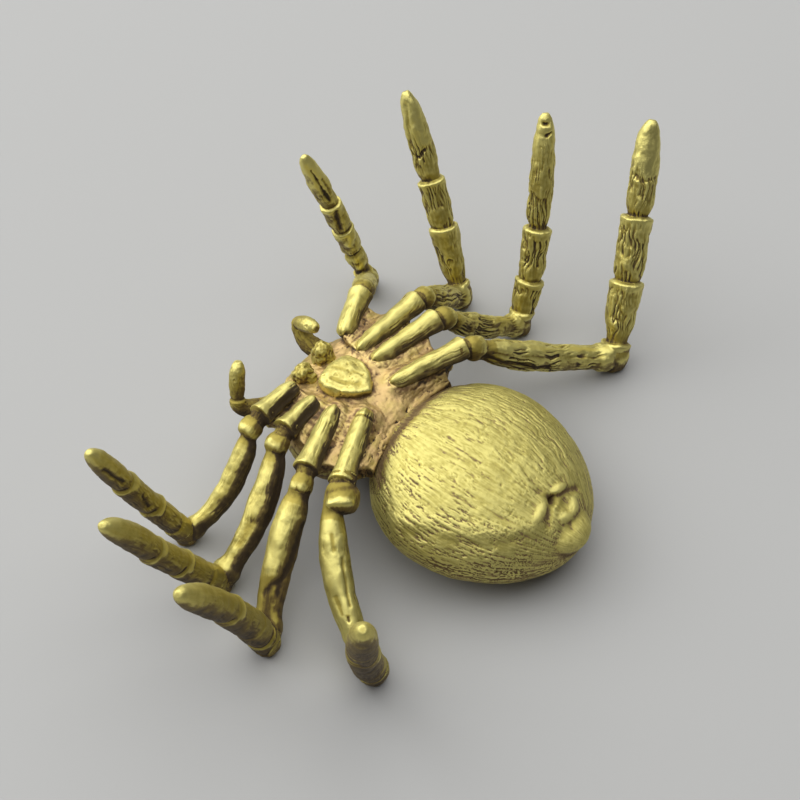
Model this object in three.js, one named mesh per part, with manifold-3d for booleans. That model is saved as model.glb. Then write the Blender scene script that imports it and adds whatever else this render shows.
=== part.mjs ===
// Brass spider figurine, a small table ornament of solid cast brass.
// It is modelled lying on its back, belly up, which shows how the castings go together:
// the legs, palps, chelicerae and sternum lie in seats of the shell, and the abdomen closes its rear.
// Millimetres. +Z is up, -Y is the head, +Y the tail, +X the spider's right side.
// The origin is on the table, under the middle of the bounding box.

import * as THREE from 'three';
import { mergeVertices } from 'three/addons/utils/BufferGeometryUtils.js';
import Module from 'manifold-3d';

// Levels of the whole figurine, measured from the belly, the plane through the coxae.
// It lies on its knees and abdomen at the back level, and stands on its feet at the standing level.
const BACK_LEVEL = -9.8;
const STANDING_LEVEL = 10.8;
const GRINDING_BLOCK = 6;

// Clearance that the braze fills between two castings
const BRAZE_GAP = 0.3;

// Shell: carapace and belly plate in one casting
const SHELL_LENGTH = 13.2;
const SHELL_WIDTH = 16.4;
const SHELL_FRONT = -6.0;
const SHELL_RIM_LEVEL = -2.7;
const SHELL_BELLY_RISE = 2.5;
const SHELL_DOME_DEPTH = 6.1;
const SHELL_TAPER = 0.12;
const BELLY_FLATNESS = 0.45;

// Abdomen: an egg, widest near its front, that dips a little to the tail
const ABDOMEN_LENGTH = 20.6;
const ABDOMEN_WIDTH = 20.2;
const ABDOMEN_BELLY_RISE = 5.1;
const ABDOMEN_BACK_DEPTH = 4.9;
const ABDOMEN_TAPER = -0.12;
const ABDOMEN_FLATNESS = 0.9;
const ABDOMEN_TILT = 8;
const ABDOMEN_SEAT_DEPTH = 2.3;
const PEDICEL_DIAMETER = 2.6;
const PEDICEL_LENGTH = 2.2;
const PEDICEL_ROOT = 3.1;

// Spinnerets: two pairs of lobes over a tail tubercle, cast with the abdomen.
// The front pair lies across the body like a lip, the rear pair points to the tail.
// Their levels are shares of the belly rise, so that they stay on its slope.
const TUBERCLE_WIDTH = 5.4;
const TUBERCLE_HEIGHT = 3.6;
const TUBERCLE_LENGTH = 4.6;
const TUBERCLE_OVERHANG = 0.4;
const TUBERCLE_LEVEL = 0.3;
const SPINNERETS = [
  { length: 2.8, width: 1.3, spread: 1.6, inset: 2.3, splay: 82, level: 0.67 },
  { length: 2.6, width: 1.9, spread: 1.4, inset: 0.2, splay: 24, level: 0.55 },
];

// Sternum: a shield with its point to the tail
const STERNUM_LENGTH = 5.2;
const STERNUM_WIDTH = 4.6;
const STERNUM_FRONT = -2.4;
const STERNUM_CROWN = 0.9;
const STERNUM_DEPTH = 1.0;

// Chelicerae: a pair of rounded jaws between the sternum and the front edge
const CHELICERA_LENGTH = 2.3;
const CHELICERA_WIDTH = 2.1;
const CHELICERA_HEIGHT = 2.8;
const CHELICERA_SPREAD = 1.45;
const CHELICERA_LEVEL = -0.8;
const CHELICERA_TAPER = -0.1;

// Leg sizes that the stances below take their shares of
const HIP_SPREAD = 0.185 * SHELL_WIDTH;
const HIP_PITCH = 0.175 * SHELL_LENGTH;
const COXA_LENGTH = 7.0;
const TROCHANTER_DIAMETER = 2.2;
const FEMUR_LENGTH = 13.4;
const FEMUR_DIAMETER = 2.4;
const TIBIA_LENGTH = 5.6;
const METATARSUS_LENGTH = 6.0;
const SHIN_DIAMETER = 2.7;

// Leg details that all eight legs share
const COXA_ROOT_DIAMETER = 1.7;
const COXA_LIP_DIAMETER = 2.4;
const TROCHANTER_REACH = 1.6;
const TROCHANTER_DROP = 0.7;
const HIP_WAIST = 0.86;
const KNEE_SWELL = 1.08;
const KNEE_CUP_LENGTH = 1.5;
const KNEE_CUP_FLARE = 0.94;
const COLLAR_SWELL = 1.1;
const NECK_WAIST = 0.74;
const FOOT_TAPER = 0.42;
const SOCKET_DEPTH = 0.5;
const METATARSUS_SLIMMING = 0.94;
const TARSUS_SLIMMING = 0.92;

// Leg stances: angles in degrees, all else in shares of the leg sizes above. Headings turn from straight
// out sideways to the tail, tilts rise from the table, and the root of a coxa lies out from the midline
// and back along it. Sag and swing bow the femur down and to the tail. No two legs are bent alike.
const LEGS = [
  {
    name: 'leg_left_1', side: -1, out: 1.28, back: -1.43, coxa: 0.74, coxaHeading: -18, trochanter: 0.91,
    femur: 0.86, femurHeading: -33, sag: 0.03, swing: 0, femurGirth: 0.92,
    tibia: 1.55, tibiaHeading: -141, tibiaTilt: 74,
    metatarsus: 0.66, tarsusHeading: -148, tarsusTilt: 71, shinGirth: 0.81,
  },
  {
    name: 'leg_left_2', side: -1, out: 1.02, back: -0.52, coxa: 1.14, coxaHeading: 7, trochanter: 1.0,
    femur: 0.84, femurHeading: -7, sag: 0.03, swing: 0, femurGirth: 1.0,
    tibia: 1.37, tibiaHeading: -63, tibiaTilt: 61,
    metatarsus: 0.84, tarsusHeading: -69, tarsusTilt: 62, shinGirth: 1.0,
  },
  {
    name: 'leg_left_3', side: -1, out: 0.96, back: 0.3, coxa: 1.06, coxaHeading: 14, trochanter: 1.05,
    femur: 0.94, femurHeading: 16, sag: 0.13, swing: 0, femurGirth: 0.92,
    tibia: 0.86, tibiaHeading: -11, tibiaTilt: 62,
    metatarsus: 0.9, tarsusHeading: -29, tarsusTilt: 64, shinGirth: 1.0,
  },
  {
    name: 'leg_left_4', side: -1, out: 0.56, back: 1.56, coxa: 1.09, coxaHeading: 22, trochanter: 1.09,
    femur: 1.25, femurHeading: 34, sag: 0.1, swing: 0, femurGirth: 1.12,
    tibia: 1.37, tibiaHeading: -21, tibiaTilt: 55,
    metatarsus: 1.07, tarsusHeading: -23, tarsusTilt: 55, shinGirth: 1.15,
  },
  {
    name: 'leg_right_1', side: 1, out: 1.06, back: -1.52, coxa: 0.63, coxaHeading: -6, trochanter: 1.0,
    femur: 0.87, femurHeading: -11, sag: 0.09, swing: 0.16, femurGirth: 0.88,
    tibia: 1.46, tibiaHeading: -15, tibiaTilt: 66,
    metatarsus: 0.98, tarsusHeading: -12, tarsusTilt: 67, shinGirth: 0.89,
  },
  {
    name: 'leg_right_2', side: 1, out: 1.16, back: -0.43, coxa: 0.59, coxaHeading: -3, trochanter: 1.0,
    femur: 1.01, femurHeading: 6, sag: 0.07, swing: 0.12, femurGirth: 1.0,
    tibia: 1.43, tibiaHeading: -15, tibiaTilt: 60,
    metatarsus: 0.86, tarsusHeading: -8, tarsusTilt: 61, shinGirth: 1.0,
  },
  {
    name: 'leg_right_3', side: 1, out: 1.06, back: 0.43, coxa: 1.03, coxaHeading: 15, trochanter: 1.0,
    femur: 1.04, femurHeading: 19, sag: 0.07, swing: -0.07, femurGirth: 1.12,
    tibia: 0.87, tibiaHeading: -5, tibiaTilt: 69,
    metatarsus: 1.02, tarsusHeading: 2, tarsusTilt: 59, shinGirth: 1.11,
  },
  {
    name: 'leg_right_4', side: 1, out: 0.63, back: 1.52, coxa: 1.17, coxaHeading: 20, trochanter: 1.42,
    femur: 1.13, femurHeading: 47, sag: 0.06, swing: -0.2, femurGirth: 1.04,
    tibia: 0.65, tibiaHeading: 18, tibiaTilt: 65,
    metatarsus: 1.22, tarsusHeading: 38, tarsusTilt: 67, shinGirth: 1.11,
  },
];

// Palps: a bent finger on each side of the jaws. Its seat lies out from the midline by a share of the
// shell's width, ahead of the belly point by a share of the shell's length, and below the coxae.
// Its route is a list of points that its middle line passes through, in shares of its reach.
const PALP_DIAMETER = 1.3;
const PALP_REACH = 6.0;
const PALP_RING = 0.58;
const PALP_TOE = 0.6;
const PALPS = [
  {
    name: 'pedipalp_left', side: -1, out: 0.21, ahead: 0.345, below: 3.1,
    route: [[0, 0, 0], [-0.02, -0.4, 0.04], [0.06, -0.64, 0.26], [-0.04, -0.42, 0.51], [-0.1, -0.17, 0.61]],
  },
  {
    name: 'pedipalp_right', side: 1, out: 0.22, ahead: 0.364, below: 3.2,
    route: [[0, 0, 0], [0.3, -0.27, -0.02], [0.5, -0.45, 0.13], [0.42, -0.55, 0.43], [0.23, -0.65, 0.78]],
  },
];

// Facet counts
const LIMB_SIDES = 10;
const BODY_SIDES = 24;
const BODY_STATIONS = 14;
const LOBE_SIDES = 10;
const LOBE_STATIONS = 6;
const PALP_STATIONS = 10;
const BALL_STATIONS = 5;

// Share of half a turn that the flat ends of eggs and balls take at each pole
const EGG_POLE = 0.03;
const BALL_POLE = 0.06;

const wasm = await Module();
wasm.setup();

function brass(colour, roughness) {
  return new THREE.MeshStandardMaterial({ color: colour, roughness, metalness: 1 });
}

// Solids: a closed geometry becomes a solid, and a solid becomes a geometry again
function solidOf(geometry) {
  const merged = mergeVertices(geometry);
  return new wasm.Manifold(new wasm.Mesh({
    numProp: 3,
    vertProperties: new Float32Array(merged.attributes.position.array),
    triVerts: new Uint32Array(merged.index.array),
  }));
}

function geometryOf(solid) {
  const mesh = solid.getMesh();
  const geometry = new THREE.BufferGeometry();
  geometry.setAttribute('position', new THREE.BufferAttribute(new Float32Array(mesh.vertProperties), 3));
  geometry.setIndex(new THREE.BufferAttribute(new Uint32Array(mesh.triVerts), 1));
  geometry.computeVertexNormals();
  return geometry;
}

// Loft: closed rings of points, each turning left about the way that the loft runs, with flat ends
function loft(rings) {
  const sides = rings[0].length;
  const points = rings.flat();
  const faces = [];
  for (let i = 0; i + 1 < rings.length; i += 1) {
    for (let k = 0; k < sides; k += 1) {
      const next = (k + 1) % sides;
      const [a, b] = [i * sides + k, i * sides + next];
      const [c, d] = [a + sides, b + sides];
      faces.push(a, b, d, a, d, c);
    }
  }
  const middle = (ring) => ring.reduce((sum, point) => sum.add(point), new THREE.Vector3())
    .divideScalar(sides);
  const first = points.push(middle(rings[0])) - 1;
  const last = points.push(middle(rings.at(-1))) - 1;
  const lastRing = (rings.length - 1) * sides;
  for (let k = 0; k < sides; k += 1) {
    const next = (k + 1) % sides;
    faces.push(first, next, k, last, lastRing + k, lastRing + next);
  }
  const geometry = new THREE.BufferGeometry().setFromPoints(points);
  geometry.setIndex(faces);
  return geometry;
}

// The facets of limbs turn from this direction, which no limb runs along
const NEAR_UPRIGHT = new THREE.Vector3(0.12, 0.2, 1);

// Limb: a round loft along a curve, from pairs of place along the curve and radius there.
// Growth makes the same limb larger all round, for the seat that it lies in.
function limb(curve, stations, growth = 0) {
  const reference = NEAR_UPRIGHT.clone().normalize();
  const lead = curve.getTangentAt(0).multiplyScalar(-growth);
  const trail = curve.getTangentAt(1).multiplyScalar(growth);
  const rings = stations.map(([place, radius], index) => {
    const centre = curve.getPointAt(place);
    if (index === 0) centre.add(lead);
    if (index === stations.length - 1) centre.add(trail);
    const tangent = curve.getTangentAt(place);
    const normal = reference.clone().addScaledVector(tangent, -reference.dot(tangent)).normalize();
    const binormal = new THREE.Vector3().crossVectors(tangent, normal);
    return Array.from({ length: LIMB_SIDES }, (_, k) => {
      const turn = (2 * Math.PI * k) / LIMB_SIDES;
      return centre.clone()
        .addScaledVector(normal, (radius + growth) * Math.cos(turn))
        .addScaledVector(binormal, (radius + growth) * Math.sin(turn));
    });
  });
  return solidOf(loft(rings));
}

// Ball: a round limb about a point, long enough along its way to be a sphere
function ball(centre, radius, growth = 0) {
  const reach = new THREE.Vector3(0, radius, 0);
  const curve = new THREE.LineCurve3(centre.clone().sub(reach), centre.clone().add(reach));
  const stations = Array.from({ length: BALL_STATIONS + 1 }, (_, i) => {
    const latitude = Math.PI * (BALL_POLE + ((1 - 2 * BALL_POLE) * i) / BALL_STATIONS);
    return [(1 - Math.cos(latitude)) / 2, radius * Math.sin(latitude)];
  });
  return limb(curve, stations, growth);
}

// Egg: a loft along +Y with its own half width, rise above and depth below a middle level.
// Taper makes one end fuller than the other, and flatness below 1 flattens the upper side.
function egg({ length, width, rise, depth, taper, flatness, growth }, sides, stations) {
  const half = length / 2 + growth;
  const rings = Array.from({ length: stations + 1 }, (_, i) => {
    const place = -Math.cos(Math.PI * (EGG_POLE + ((1 - 2 * EGG_POLE) * i) / stations));
    const girth = Math.sqrt(1 - place * place) * (1 + taper * place);
    return Array.from({ length: sides }, (_unused, k) => {
      const turn = (-2 * Math.PI * k) / sides;
      const upper = Math.sin(turn) > 0;
      const lift = upper ? (rise + growth) * Math.sin(turn) ** flatness : (depth + growth) * Math.sin(turn);
      return new THREE.Vector3((width / 2 + growth) * girth * Math.cos(turn), half * place, girth * lift);
    });
  });
  return loft(rings);
}

// Points and directions of the legs
const degrees = THREE.MathUtils.degToRad;

function direction(side, heading, tilt) {
  const flat = Math.cos(degrees(tilt));
  return new THREE.Vector3(
    side * flat * Math.cos(degrees(heading)),
    flat * Math.sin(degrees(heading)),
    Math.sin(degrees(tilt)),
  );
}

function kneeRadius(leg) {
  return (leg.femurGirth * FEMUR_DIAMETER / 2) * KNEE_SWELL;
}

// Joints of one leg, from the hip to the foot. The femur drops until its knee lies on the back level,
// and the tarsus runs on until its tip meets the standing level, so all knees and feet stay level.
function jointsOf(leg) {
  const hip = new THREE.Vector3(leg.side * leg.out * HIP_SPREAD, leg.back * HIP_PITCH, 0);
  const lip = hip.clone().addScaledVector(direction(leg.side, leg.coxaHeading, 0), leg.coxa * COXA_LENGTH);
  const midway = (leg.coxaHeading + leg.femurHeading) / 2;
  const trochanter = lip.clone().addScaledVector(direction(leg.side, midway, 0), TROCHANTER_REACH);
  trochanter.z -= TROCHANTER_DROP;
  const femurLength = leg.femur * FEMUR_LENGTH;
  const kneeLevel = BACK_LEVEL + kneeRadius(leg);
  const femurTilt = THREE.MathUtils.radToDeg(Math.asin((kneeLevel - trochanter.z) / femurLength));
  const knee = trochanter.clone()
    .addScaledVector(direction(leg.side, leg.femurHeading, femurTilt), femurLength);
  const shin = direction(leg.side, leg.tibiaHeading, leg.tibiaTilt);
  const ankle = knee.clone().addScaledVector(shin, leg.tibia * TIBIA_LENGTH);
  const metatarsusHeading = (leg.tibiaHeading + leg.tarsusHeading) / 2;
  const metatarsusTilt = (leg.tibiaTilt + leg.tarsusTilt) / 2;
  const metatarsus = direction(leg.side, metatarsusHeading, metatarsusTilt);
  const heel = ankle.clone().addScaledVector(metatarsus, leg.metatarsus * METATARSUS_LENGTH);
  const foot = direction(leg.side, leg.tarsusHeading, leg.tarsusTilt);
  const tip = heel.clone().addScaledVector(foot, (STANDING_LEVEL - heel.z) / foot.z);
  return { hip, lip, trochanter, knee, ankle, heel, tip, shin, foot };
}

// Coxa: a ridge that swells from a rounded root to a flared lip
function coxaSolid(joints, growth) {
  const root = COXA_ROOT_DIAMETER / 2;
  const lip = COXA_LIP_DIAMETER / 2;
  const stations = [
    [0, root * 0.5], [0.06, root * 0.9], [0.2, root * 1.15], [0.6, (root + lip) / 2],
    [0.88, lip * 0.95], [0.96, lip], [1, lip * 0.92],
  ];
  return limb(new THREE.LineCurve3(joints.hip, joints.lip), stations, growth);
}

// Femur: a bowed spindle from the trochanter ball to the knee, with a collar just before the knee
function femurSolid(leg, joints, growth) {
  const radius = leg.femurGirth * FEMUR_DIAMETER / 2;
  const middle = joints.trochanter.clone().lerp(joints.knee, 0.5)
    .addScaledVector(direction(leg.side, leg.femurHeading + 90, 0), leg.swing * FEMUR_LENGTH);
  middle.z -= leg.sag * FEMUR_LENGTH;
  const curve = new THREE.QuadraticBezierCurve3(joints.trochanter, middle, joints.knee);
  const stations = [
    [0, radius * NECK_WAIST], [0.1, radius * NECK_WAIST], [0.2, radius], [0.38, radius * 1.1],
    [0.8, radius * 0.88], [0.9, radius * COLLAR_SWELL], [1, radius],
  ];
  return limb(curve, stations, growth);
}

// Hip: what the shell has to clear, the coxa, the trochanter ball and the femur
function hipSolid(leg, joints, growth) {
  const neck = (COXA_LIP_DIAMETER / 2) * HIP_WAIST;
  const inward = joints.hip.clone().sub(joints.lip).normalize();
  const overlap = joints.lip.clone().addScaledVector(inward, SOCKET_DEPTH);
  const spigot = limb(new THREE.LineCurve3(overlap, joints.trochanter), [[0, neck], [1, neck]], growth);
  return coxaSolid(joints, growth)
    .add(spigot)
    .add(ball(joints.trochanter, leg.trochanter * TROCHANTER_DIAMETER / 2, growth))
    .add(femurSolid(leg, joints, growth));
}

// Knee: a ball that the femur ends in, and the cup on it that the tibia stands in
function kneeSolid(leg, joints) {
  const radius = kneeRadius(leg);
  const rim = (leg.shinGirth * SHIN_DIAMETER / 2) * KNEE_CUP_FLARE;
  const brim = joints.knee.clone().addScaledVector(joints.shin, KNEE_CUP_LENGTH);
  const cup = limb(new THREE.LineCurve3(joints.knee, brim), [[0, radius * 0.8], [0.9, rim], [1, rim * 0.95]]);
  return ball(joints.knee, radius).add(cup);
}

// Shin segment: it starts as a neck inside the collar before it and ends in a collar of its own
function shinSegment(start, end, radius, endRadius) {
  const way = end.clone().sub(start).normalize();
  const inside = start.clone().addScaledVector(way, -SOCKET_DEPTH);
  const neck = radius * NECK_WAIST;
  const stations = [
    [0, neck], [0.14, neck], [0.3, radius], [0.8, (radius + endRadius) / 2],
    [0.88, endRadius * COLLAR_SWELL], [0.97, endRadius * COLLAR_SWELL], [1, endRadius],
  ];
  return limb(new THREE.LineCurve3(inside, end), stations);
}

// Tarsus: the last segment, tapering to a rounded toe that is ground flat at the standing level
function tarsusSolid(joints, radius) {
  const inside = joints.heel.clone().addScaledVector(joints.foot, -SOCKET_DEPTH);
  const beyond = joints.tip.clone().addScaledVector(joints.foot, radius * FOOT_TAPER);
  const neck = radius * NECK_WAIST;
  const stations = [
    [0, neck], [0.1, neck], [0.2, radius], [0.45, radius], [0.75, radius * 0.82],
    [0.9, radius * 0.66], [1, radius * FOOT_TAPER],
  ];
  return limb(new THREE.LineCurve3(inside, beyond), stations);
}

// Leg: the hip, knee and shin in one casting, with what stands past the standing level ground off
function legSolid(leg, joints) {
  const radius = leg.shinGirth * SHIN_DIAMETER / 2;
  const sole = new THREE.BoxGeometry(GRINDING_BLOCK, GRINDING_BLOCK, GRINDING_BLOCK)
    .translate(joints.tip.x, joints.tip.y, STANDING_LEVEL + GRINDING_BLOCK / 2);
  sole.deleteAttribute('normal');
  sole.deleteAttribute('uv');
  return hipSolid(leg, joints, 0)
    .add(kneeSolid(leg, joints))
    .add(shinSegment(joints.knee, joints.ankle, radius, radius))
    .add(shinSegment(joints.ankle, joints.heel, radius, radius * METATARSUS_SLIMMING))
    .add(tarsusSolid(joints, radius * TARSUS_SLIMMING))
    .subtract(solidOf(sole));
}

// Palp: a finger along a bent route, with a ring behind its end segment
function palpSolid(palp, growth) {
  const seat = new THREE.Vector3(palp.out * SHELL_WIDTH, -palp.ahead * SHELL_LENGTH, -palp.below);
  const points = palp.route.map(([out, back, up]) => new THREE.Vector3(out, back, up)
    .multiplyScalar(PALP_REACH)
    .add(seat)
    .multiply(new THREE.Vector3(palp.side, 1, 1)));
  const curve = new THREE.CatmullRomCurve3(points);
  const radius = PALP_DIAMETER / 2;
  const stations = Array.from({ length: PALP_STATIONS + 1 }, (_, i) => {
    const place = i / PALP_STATIONS;
    const ring = Math.abs(place - PALP_RING) < 0.5 / PALP_STATIONS ? NECK_WAIST : 1;
    const toe = i === PALP_STATIONS ? PALP_TOE : 1;
    return [place, radius * ring * toe];
  });
  return limb(curve, stations, growth);
}

// Chelicera: a rounded jaw whose rear end keeps clear of the sternum
function cheliceraSolid(side, growth) {
  const centre = STERNUM_FRONT - BRAZE_GAP - CHELICERA_LENGTH / 2;
  const jaw = egg({
    length: CHELICERA_LENGTH, width: CHELICERA_WIDTH, rise: CHELICERA_HEIGHT / 2,
    depth: CHELICERA_HEIGHT / 2, taper: CHELICERA_TAPER, flatness: 1, growth,
  }, LOBE_SIDES, LOBE_STATIONS).translate(side * CHELICERA_SPREAD, centre, CHELICERA_LEVEL);
  return solidOf(jaw);
}

// Sternum: a shield outline, crowned above and flat below
function sternumSolid(growth) {
  const half = STERNUM_WIDTH / 2 + growth;
  const front = STERNUM_FRONT - growth;
  const point = STERNUM_FRONT + STERNUM_LENGTH + growth;
  const shield = new THREE.Shape();
  shield.moveTo(0, front);
  shield.quadraticCurveTo(half, front, half, front + STERNUM_LENGTH * 0.35);
  shield.quadraticCurveTo(half, point - STERNUM_LENGTH * 0.3, 0, point);
  shield.quadraticCurveTo(-half, point - STERNUM_LENGTH * 0.3, -half, front + STERNUM_LENGTH * 0.35);
  shield.quadraticCurveTo(-half, front, 0, front);
  const outline = shield.getPoints(5).slice(0, -1);
  const centre = new THREE.Vector2(0, STERNUM_FRONT + STERNUM_LENGTH * 0.45);
  const layers = [
    [1, -STERNUM_DEPTH - growth], [1, 0], [0.93, STERNUM_CROWN * 0.45],
    [0.7, STERNUM_CROWN * 0.85], [0.35, STERNUM_CROWN + growth],
  ];
  const rings = layers.map(([scale, level]) => outline.map((spot) => new THREE.Vector3(
    centre.x + (spot.x - centre.x) * scale,
    centre.y + (spot.y - centre.y) * scale,
    level,
  )));
  return solidOf(loft(rings));
}

// Abdomen: the egg with its pedicel stub in front and the spinnerets at the tail
function abdomenSolid(growth) {
  const front = SHELL_FRONT + SHELL_LENGTH - ABDOMEN_SEAT_DEPTH;
  const half = ABDOMEN_LENGTH / 2;
  const body = solidOf(egg({
    length: ABDOMEN_LENGTH, width: ABDOMEN_WIDTH, rise: ABDOMEN_BELLY_RISE, depth: ABDOMEN_BACK_DEPTH,
    taper: ABDOMEN_TAPER, flatness: ABDOMEN_FLATNESS, growth,
  }, BODY_SIDES, BODY_STATIONS));
  const nose = new THREE.Vector3(0, -half, 0);
  const stub = limb(
    new THREE.LineCurve3(nose.clone().setY(-half - PEDICEL_LENGTH), nose.clone().setY(PEDICEL_ROOT - half)),
    [[0, PEDICEL_DIAMETER / 2], [1, PEDICEL_DIAMETER / 2]],
    growth,
  );
  const tail = half + TUBERCLE_OVERHANG - TUBERCLE_LENGTH / 2;
  const tubercle = egg({
    length: TUBERCLE_LENGTH, width: TUBERCLE_WIDTH, rise: TUBERCLE_HEIGHT / 2, depth: TUBERCLE_HEIGHT / 2,
    taper: 0, flatness: 1, growth,
  }, LOBE_SIDES, LOBE_STATIONS).translate(0, tail, ABDOMEN_BELLY_RISE * TUBERCLE_LEVEL);
  let solid = body.add(stub).add(solidOf(tubercle));
  for (const { length, width, spread, inset, splay, level } of SPINNERETS) {
    for (const side of [-1, 1]) {
      const lobe = egg({
        length, width, rise: width / 2, depth: width / 2, taper: 0, flatness: 1, growth,
      }, LOBE_SIDES, LOBE_STATIONS)
        .rotateZ(side * degrees(-splay))
        .translate(side * spread, tail - inset, ABDOMEN_BELLY_RISE * level);
      solid = solid.add(solidOf(lobe));
    }
  }
  const tilted = solid.transform(new THREE.Matrix4().makeRotationX(degrees(-ABDOMEN_TILT)).elements);
  const lowest = tilted.boundingBox().min[2] + growth;
  return tilted.translate(0, front + half, BACK_LEVEL - lowest);
}

// Shell: the egg with a seat for each casting that lies in it
function shellSolid(legs) {
  const body = egg({
    length: SHELL_LENGTH, width: SHELL_WIDTH, rise: SHELL_BELLY_RISE, depth: SHELL_DOME_DEPTH,
    taper: SHELL_TAPER, flatness: BELLY_FLATNESS, growth: 0,
  }, BODY_SIDES, BODY_STATIONS).translate(0, SHELL_FRONT + SHELL_LENGTH / 2, SHELL_RIM_LEVEL);
  let solid = solidOf(body)
    .subtract(abdomenSolid(BRAZE_GAP))
    .subtract(sternumSolid(BRAZE_GAP));
  for (const { leg, joints } of legs) solid = solid.subtract(hipSolid(leg, joints, BRAZE_GAP));
  for (const palp of PALPS) solid = solid.subtract(palpSolid(palp, BRAZE_GAP));
  for (const side of [-1, 1]) solid = solid.subtract(cheliceraSolid(side, BRAZE_GAP));
  return solid;
}

// Assembly, in the order of the bench: shell first, then what is brazed into it
const figurine = new THREE.Group();

function place(name, solid, material) {
  const mesh = new THREE.Mesh(geometryOf(solid), material);
  mesh.name = name;
  figurine.add(mesh);
}

const legs = LEGS.map((leg) => ({ leg, joints: jointsOf(leg) }));
place('shell', shellSolid(legs), brass(0x9a6f4a, 0.5));
place('sternum', sternumSolid(0), brass(0xb59a55, 0.4));
place('abdomen', abdomenSolid(0), brass(0xa8924f, 0.42));
for (const { leg, joints } of legs) place(leg.name, legSolid(leg, joints), brass(0xab9148, 0.38));
for (const palp of PALPS) place(palp.name, palpSolid(palp, 0), brass(0x8f7a3e, 0.42));
for (const [name, side] of [['chelicera_left', -1], ['chelicera_right', 1]]) {
  place(name, cheliceraSolid(side, 0), brass(0xa08848, 0.45));
}

// The origin goes to the table, under the middle of the bounding box
const box = new THREE.Box3().setFromObject(figurine);
const middle = box.getCenter(new THREE.Vector3());
figurine.position.set(-middle.x, -middle.y, -box.min.z);
figurine.updateMatrixWorld(true);

export default figurine;
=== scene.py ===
import math

import bpy
import numpy as np
from mathutils import Matrix, Vector


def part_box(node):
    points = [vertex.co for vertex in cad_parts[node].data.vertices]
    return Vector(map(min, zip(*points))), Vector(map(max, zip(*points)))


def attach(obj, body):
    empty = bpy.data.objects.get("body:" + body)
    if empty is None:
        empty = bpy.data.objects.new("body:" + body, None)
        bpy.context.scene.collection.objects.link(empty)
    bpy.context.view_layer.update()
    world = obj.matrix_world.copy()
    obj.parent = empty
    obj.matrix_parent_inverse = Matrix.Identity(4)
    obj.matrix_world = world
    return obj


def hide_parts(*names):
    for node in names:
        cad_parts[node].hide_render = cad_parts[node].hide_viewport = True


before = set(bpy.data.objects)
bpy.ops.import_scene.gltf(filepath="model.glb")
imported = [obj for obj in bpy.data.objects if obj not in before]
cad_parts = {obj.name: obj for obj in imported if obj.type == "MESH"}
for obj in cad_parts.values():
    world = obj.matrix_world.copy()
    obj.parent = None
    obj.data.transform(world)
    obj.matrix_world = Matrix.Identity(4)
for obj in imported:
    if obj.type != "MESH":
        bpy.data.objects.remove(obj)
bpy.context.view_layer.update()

# Stage: a plain pale floor, a very broad soft lamp above the figurine, a weak one low on the head's side
# and faint grey light all round. The camera looks down on the belly, over the right side of the tail.
MM = 0.001
FLOOR_SIZE = 6.0
FLOOR_GREY = (0.42, 0.42, 0.41, 1)
FLOOR_ROUGHNESS = 0.9
ROOM_GREY = (0.09, 0.09, 0.095, 1)
KEY_LAMP = {"size": 1.50, "watts": 12.5, "place": (-0.08, -0.24, 0.60)}
FILL_LAMP = {"size": 0.60, "watts": 1.8, "place": (0.12, -0.60, 0.28)}
VIEW_AZIMUTH = math.radians(124.7)
VIEW_ELEVATION = math.radians(51.3)
VIEW_DISTANCE = 200 * MM
VIEW_AIM = Vector((-0.70, 5.35, 0.0)) * MM
VIEW_LENS = 99
VIEW_SENSOR = 36
VIEW_NEAREST = 10 * MM

# The belly point is on the midline, level with the axes of the coxae, under the sternum's front half
STERNUM_FRONT = -2.4
STERNUM_CROWN = 0.9
sternum_low, sternum_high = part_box("sternum")
BELLY = Vector((
    (sternum_low.x + sternum_high.x) / 2,
    sternum_low.y - STERNUM_FRONT * MM,
    sternum_high.z - STERNUM_CROWN * MM,
))

floor_mesh = bpy.data.meshes.new("floor")
half_floor = FLOOR_SIZE / 2
floor_mesh.from_pydata(
    [(x * half_floor, y * half_floor, 0) for x, y in ((-1, -1), (1, -1), (1, 1), (-1, 1))],
    [],
    [(0, 1, 2, 3)],
)
floor_finish = bpy.data.materials.new("floor_grey")
floor_finish.use_nodes = True
floor_shader = floor_finish.node_tree.nodes["Principled BSDF"]
floor_shader.inputs["Base Color"].default_value = FLOOR_GREY
floor_shader.inputs["Roughness"].default_value = FLOOR_ROUGHNESS
floor_mesh.materials.append(floor_finish)
floor = bpy.data.objects.new("floor", floor_mesh)
bpy.context.scene.collection.objects.link(floor)

for lamp_name, lamp in (("key_lamp", KEY_LAMP), ("fill_lamp", FILL_LAMP)):
    light = bpy.data.lights.new(lamp_name, "AREA")
    light.size = lamp["size"]
    light.energy = lamp["watts"]
    lamp_object = bpy.data.objects.new(lamp_name, light)
    lamp_object.location = lamp["place"]
    lamp_object.rotation_euler = (-Vector(lamp["place"])).to_track_quat("-Z", "Y").to_euler()
    bpy.context.scene.collection.objects.link(lamp_object)

world = bpy.data.worlds.new("room")
world.use_nodes = True
world.node_tree.nodes["Background"].inputs["Color"].default_value = ROOM_GREY
bpy.context.scene.world = world
bpy.context.scene.view_settings.view_transform = "Standard"

view_back = Vector((
    math.sin(VIEW_AZIMUTH) * math.cos(VIEW_ELEVATION),
    -math.cos(VIEW_AZIMUTH) * math.cos(VIEW_ELEVATION),
    math.sin(VIEW_ELEVATION),
))
camera_data = bpy.data.cameras.new("camera")
camera_data.lens = VIEW_LENS
camera_data.sensor_width = VIEW_SENSOR
camera_data.clip_start = VIEW_NEAREST
camera = bpy.data.objects.new("camera", camera_data)
camera.location = BELLY + VIEW_AIM + view_back * VIEW_DISTANCE
camera.rotation_euler = (-view_back).to_track_quat("-Z", "Y").to_euler()
bpy.context.scene.collection.objects.link(camera)
bpy.context.scene.camera = camera

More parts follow.
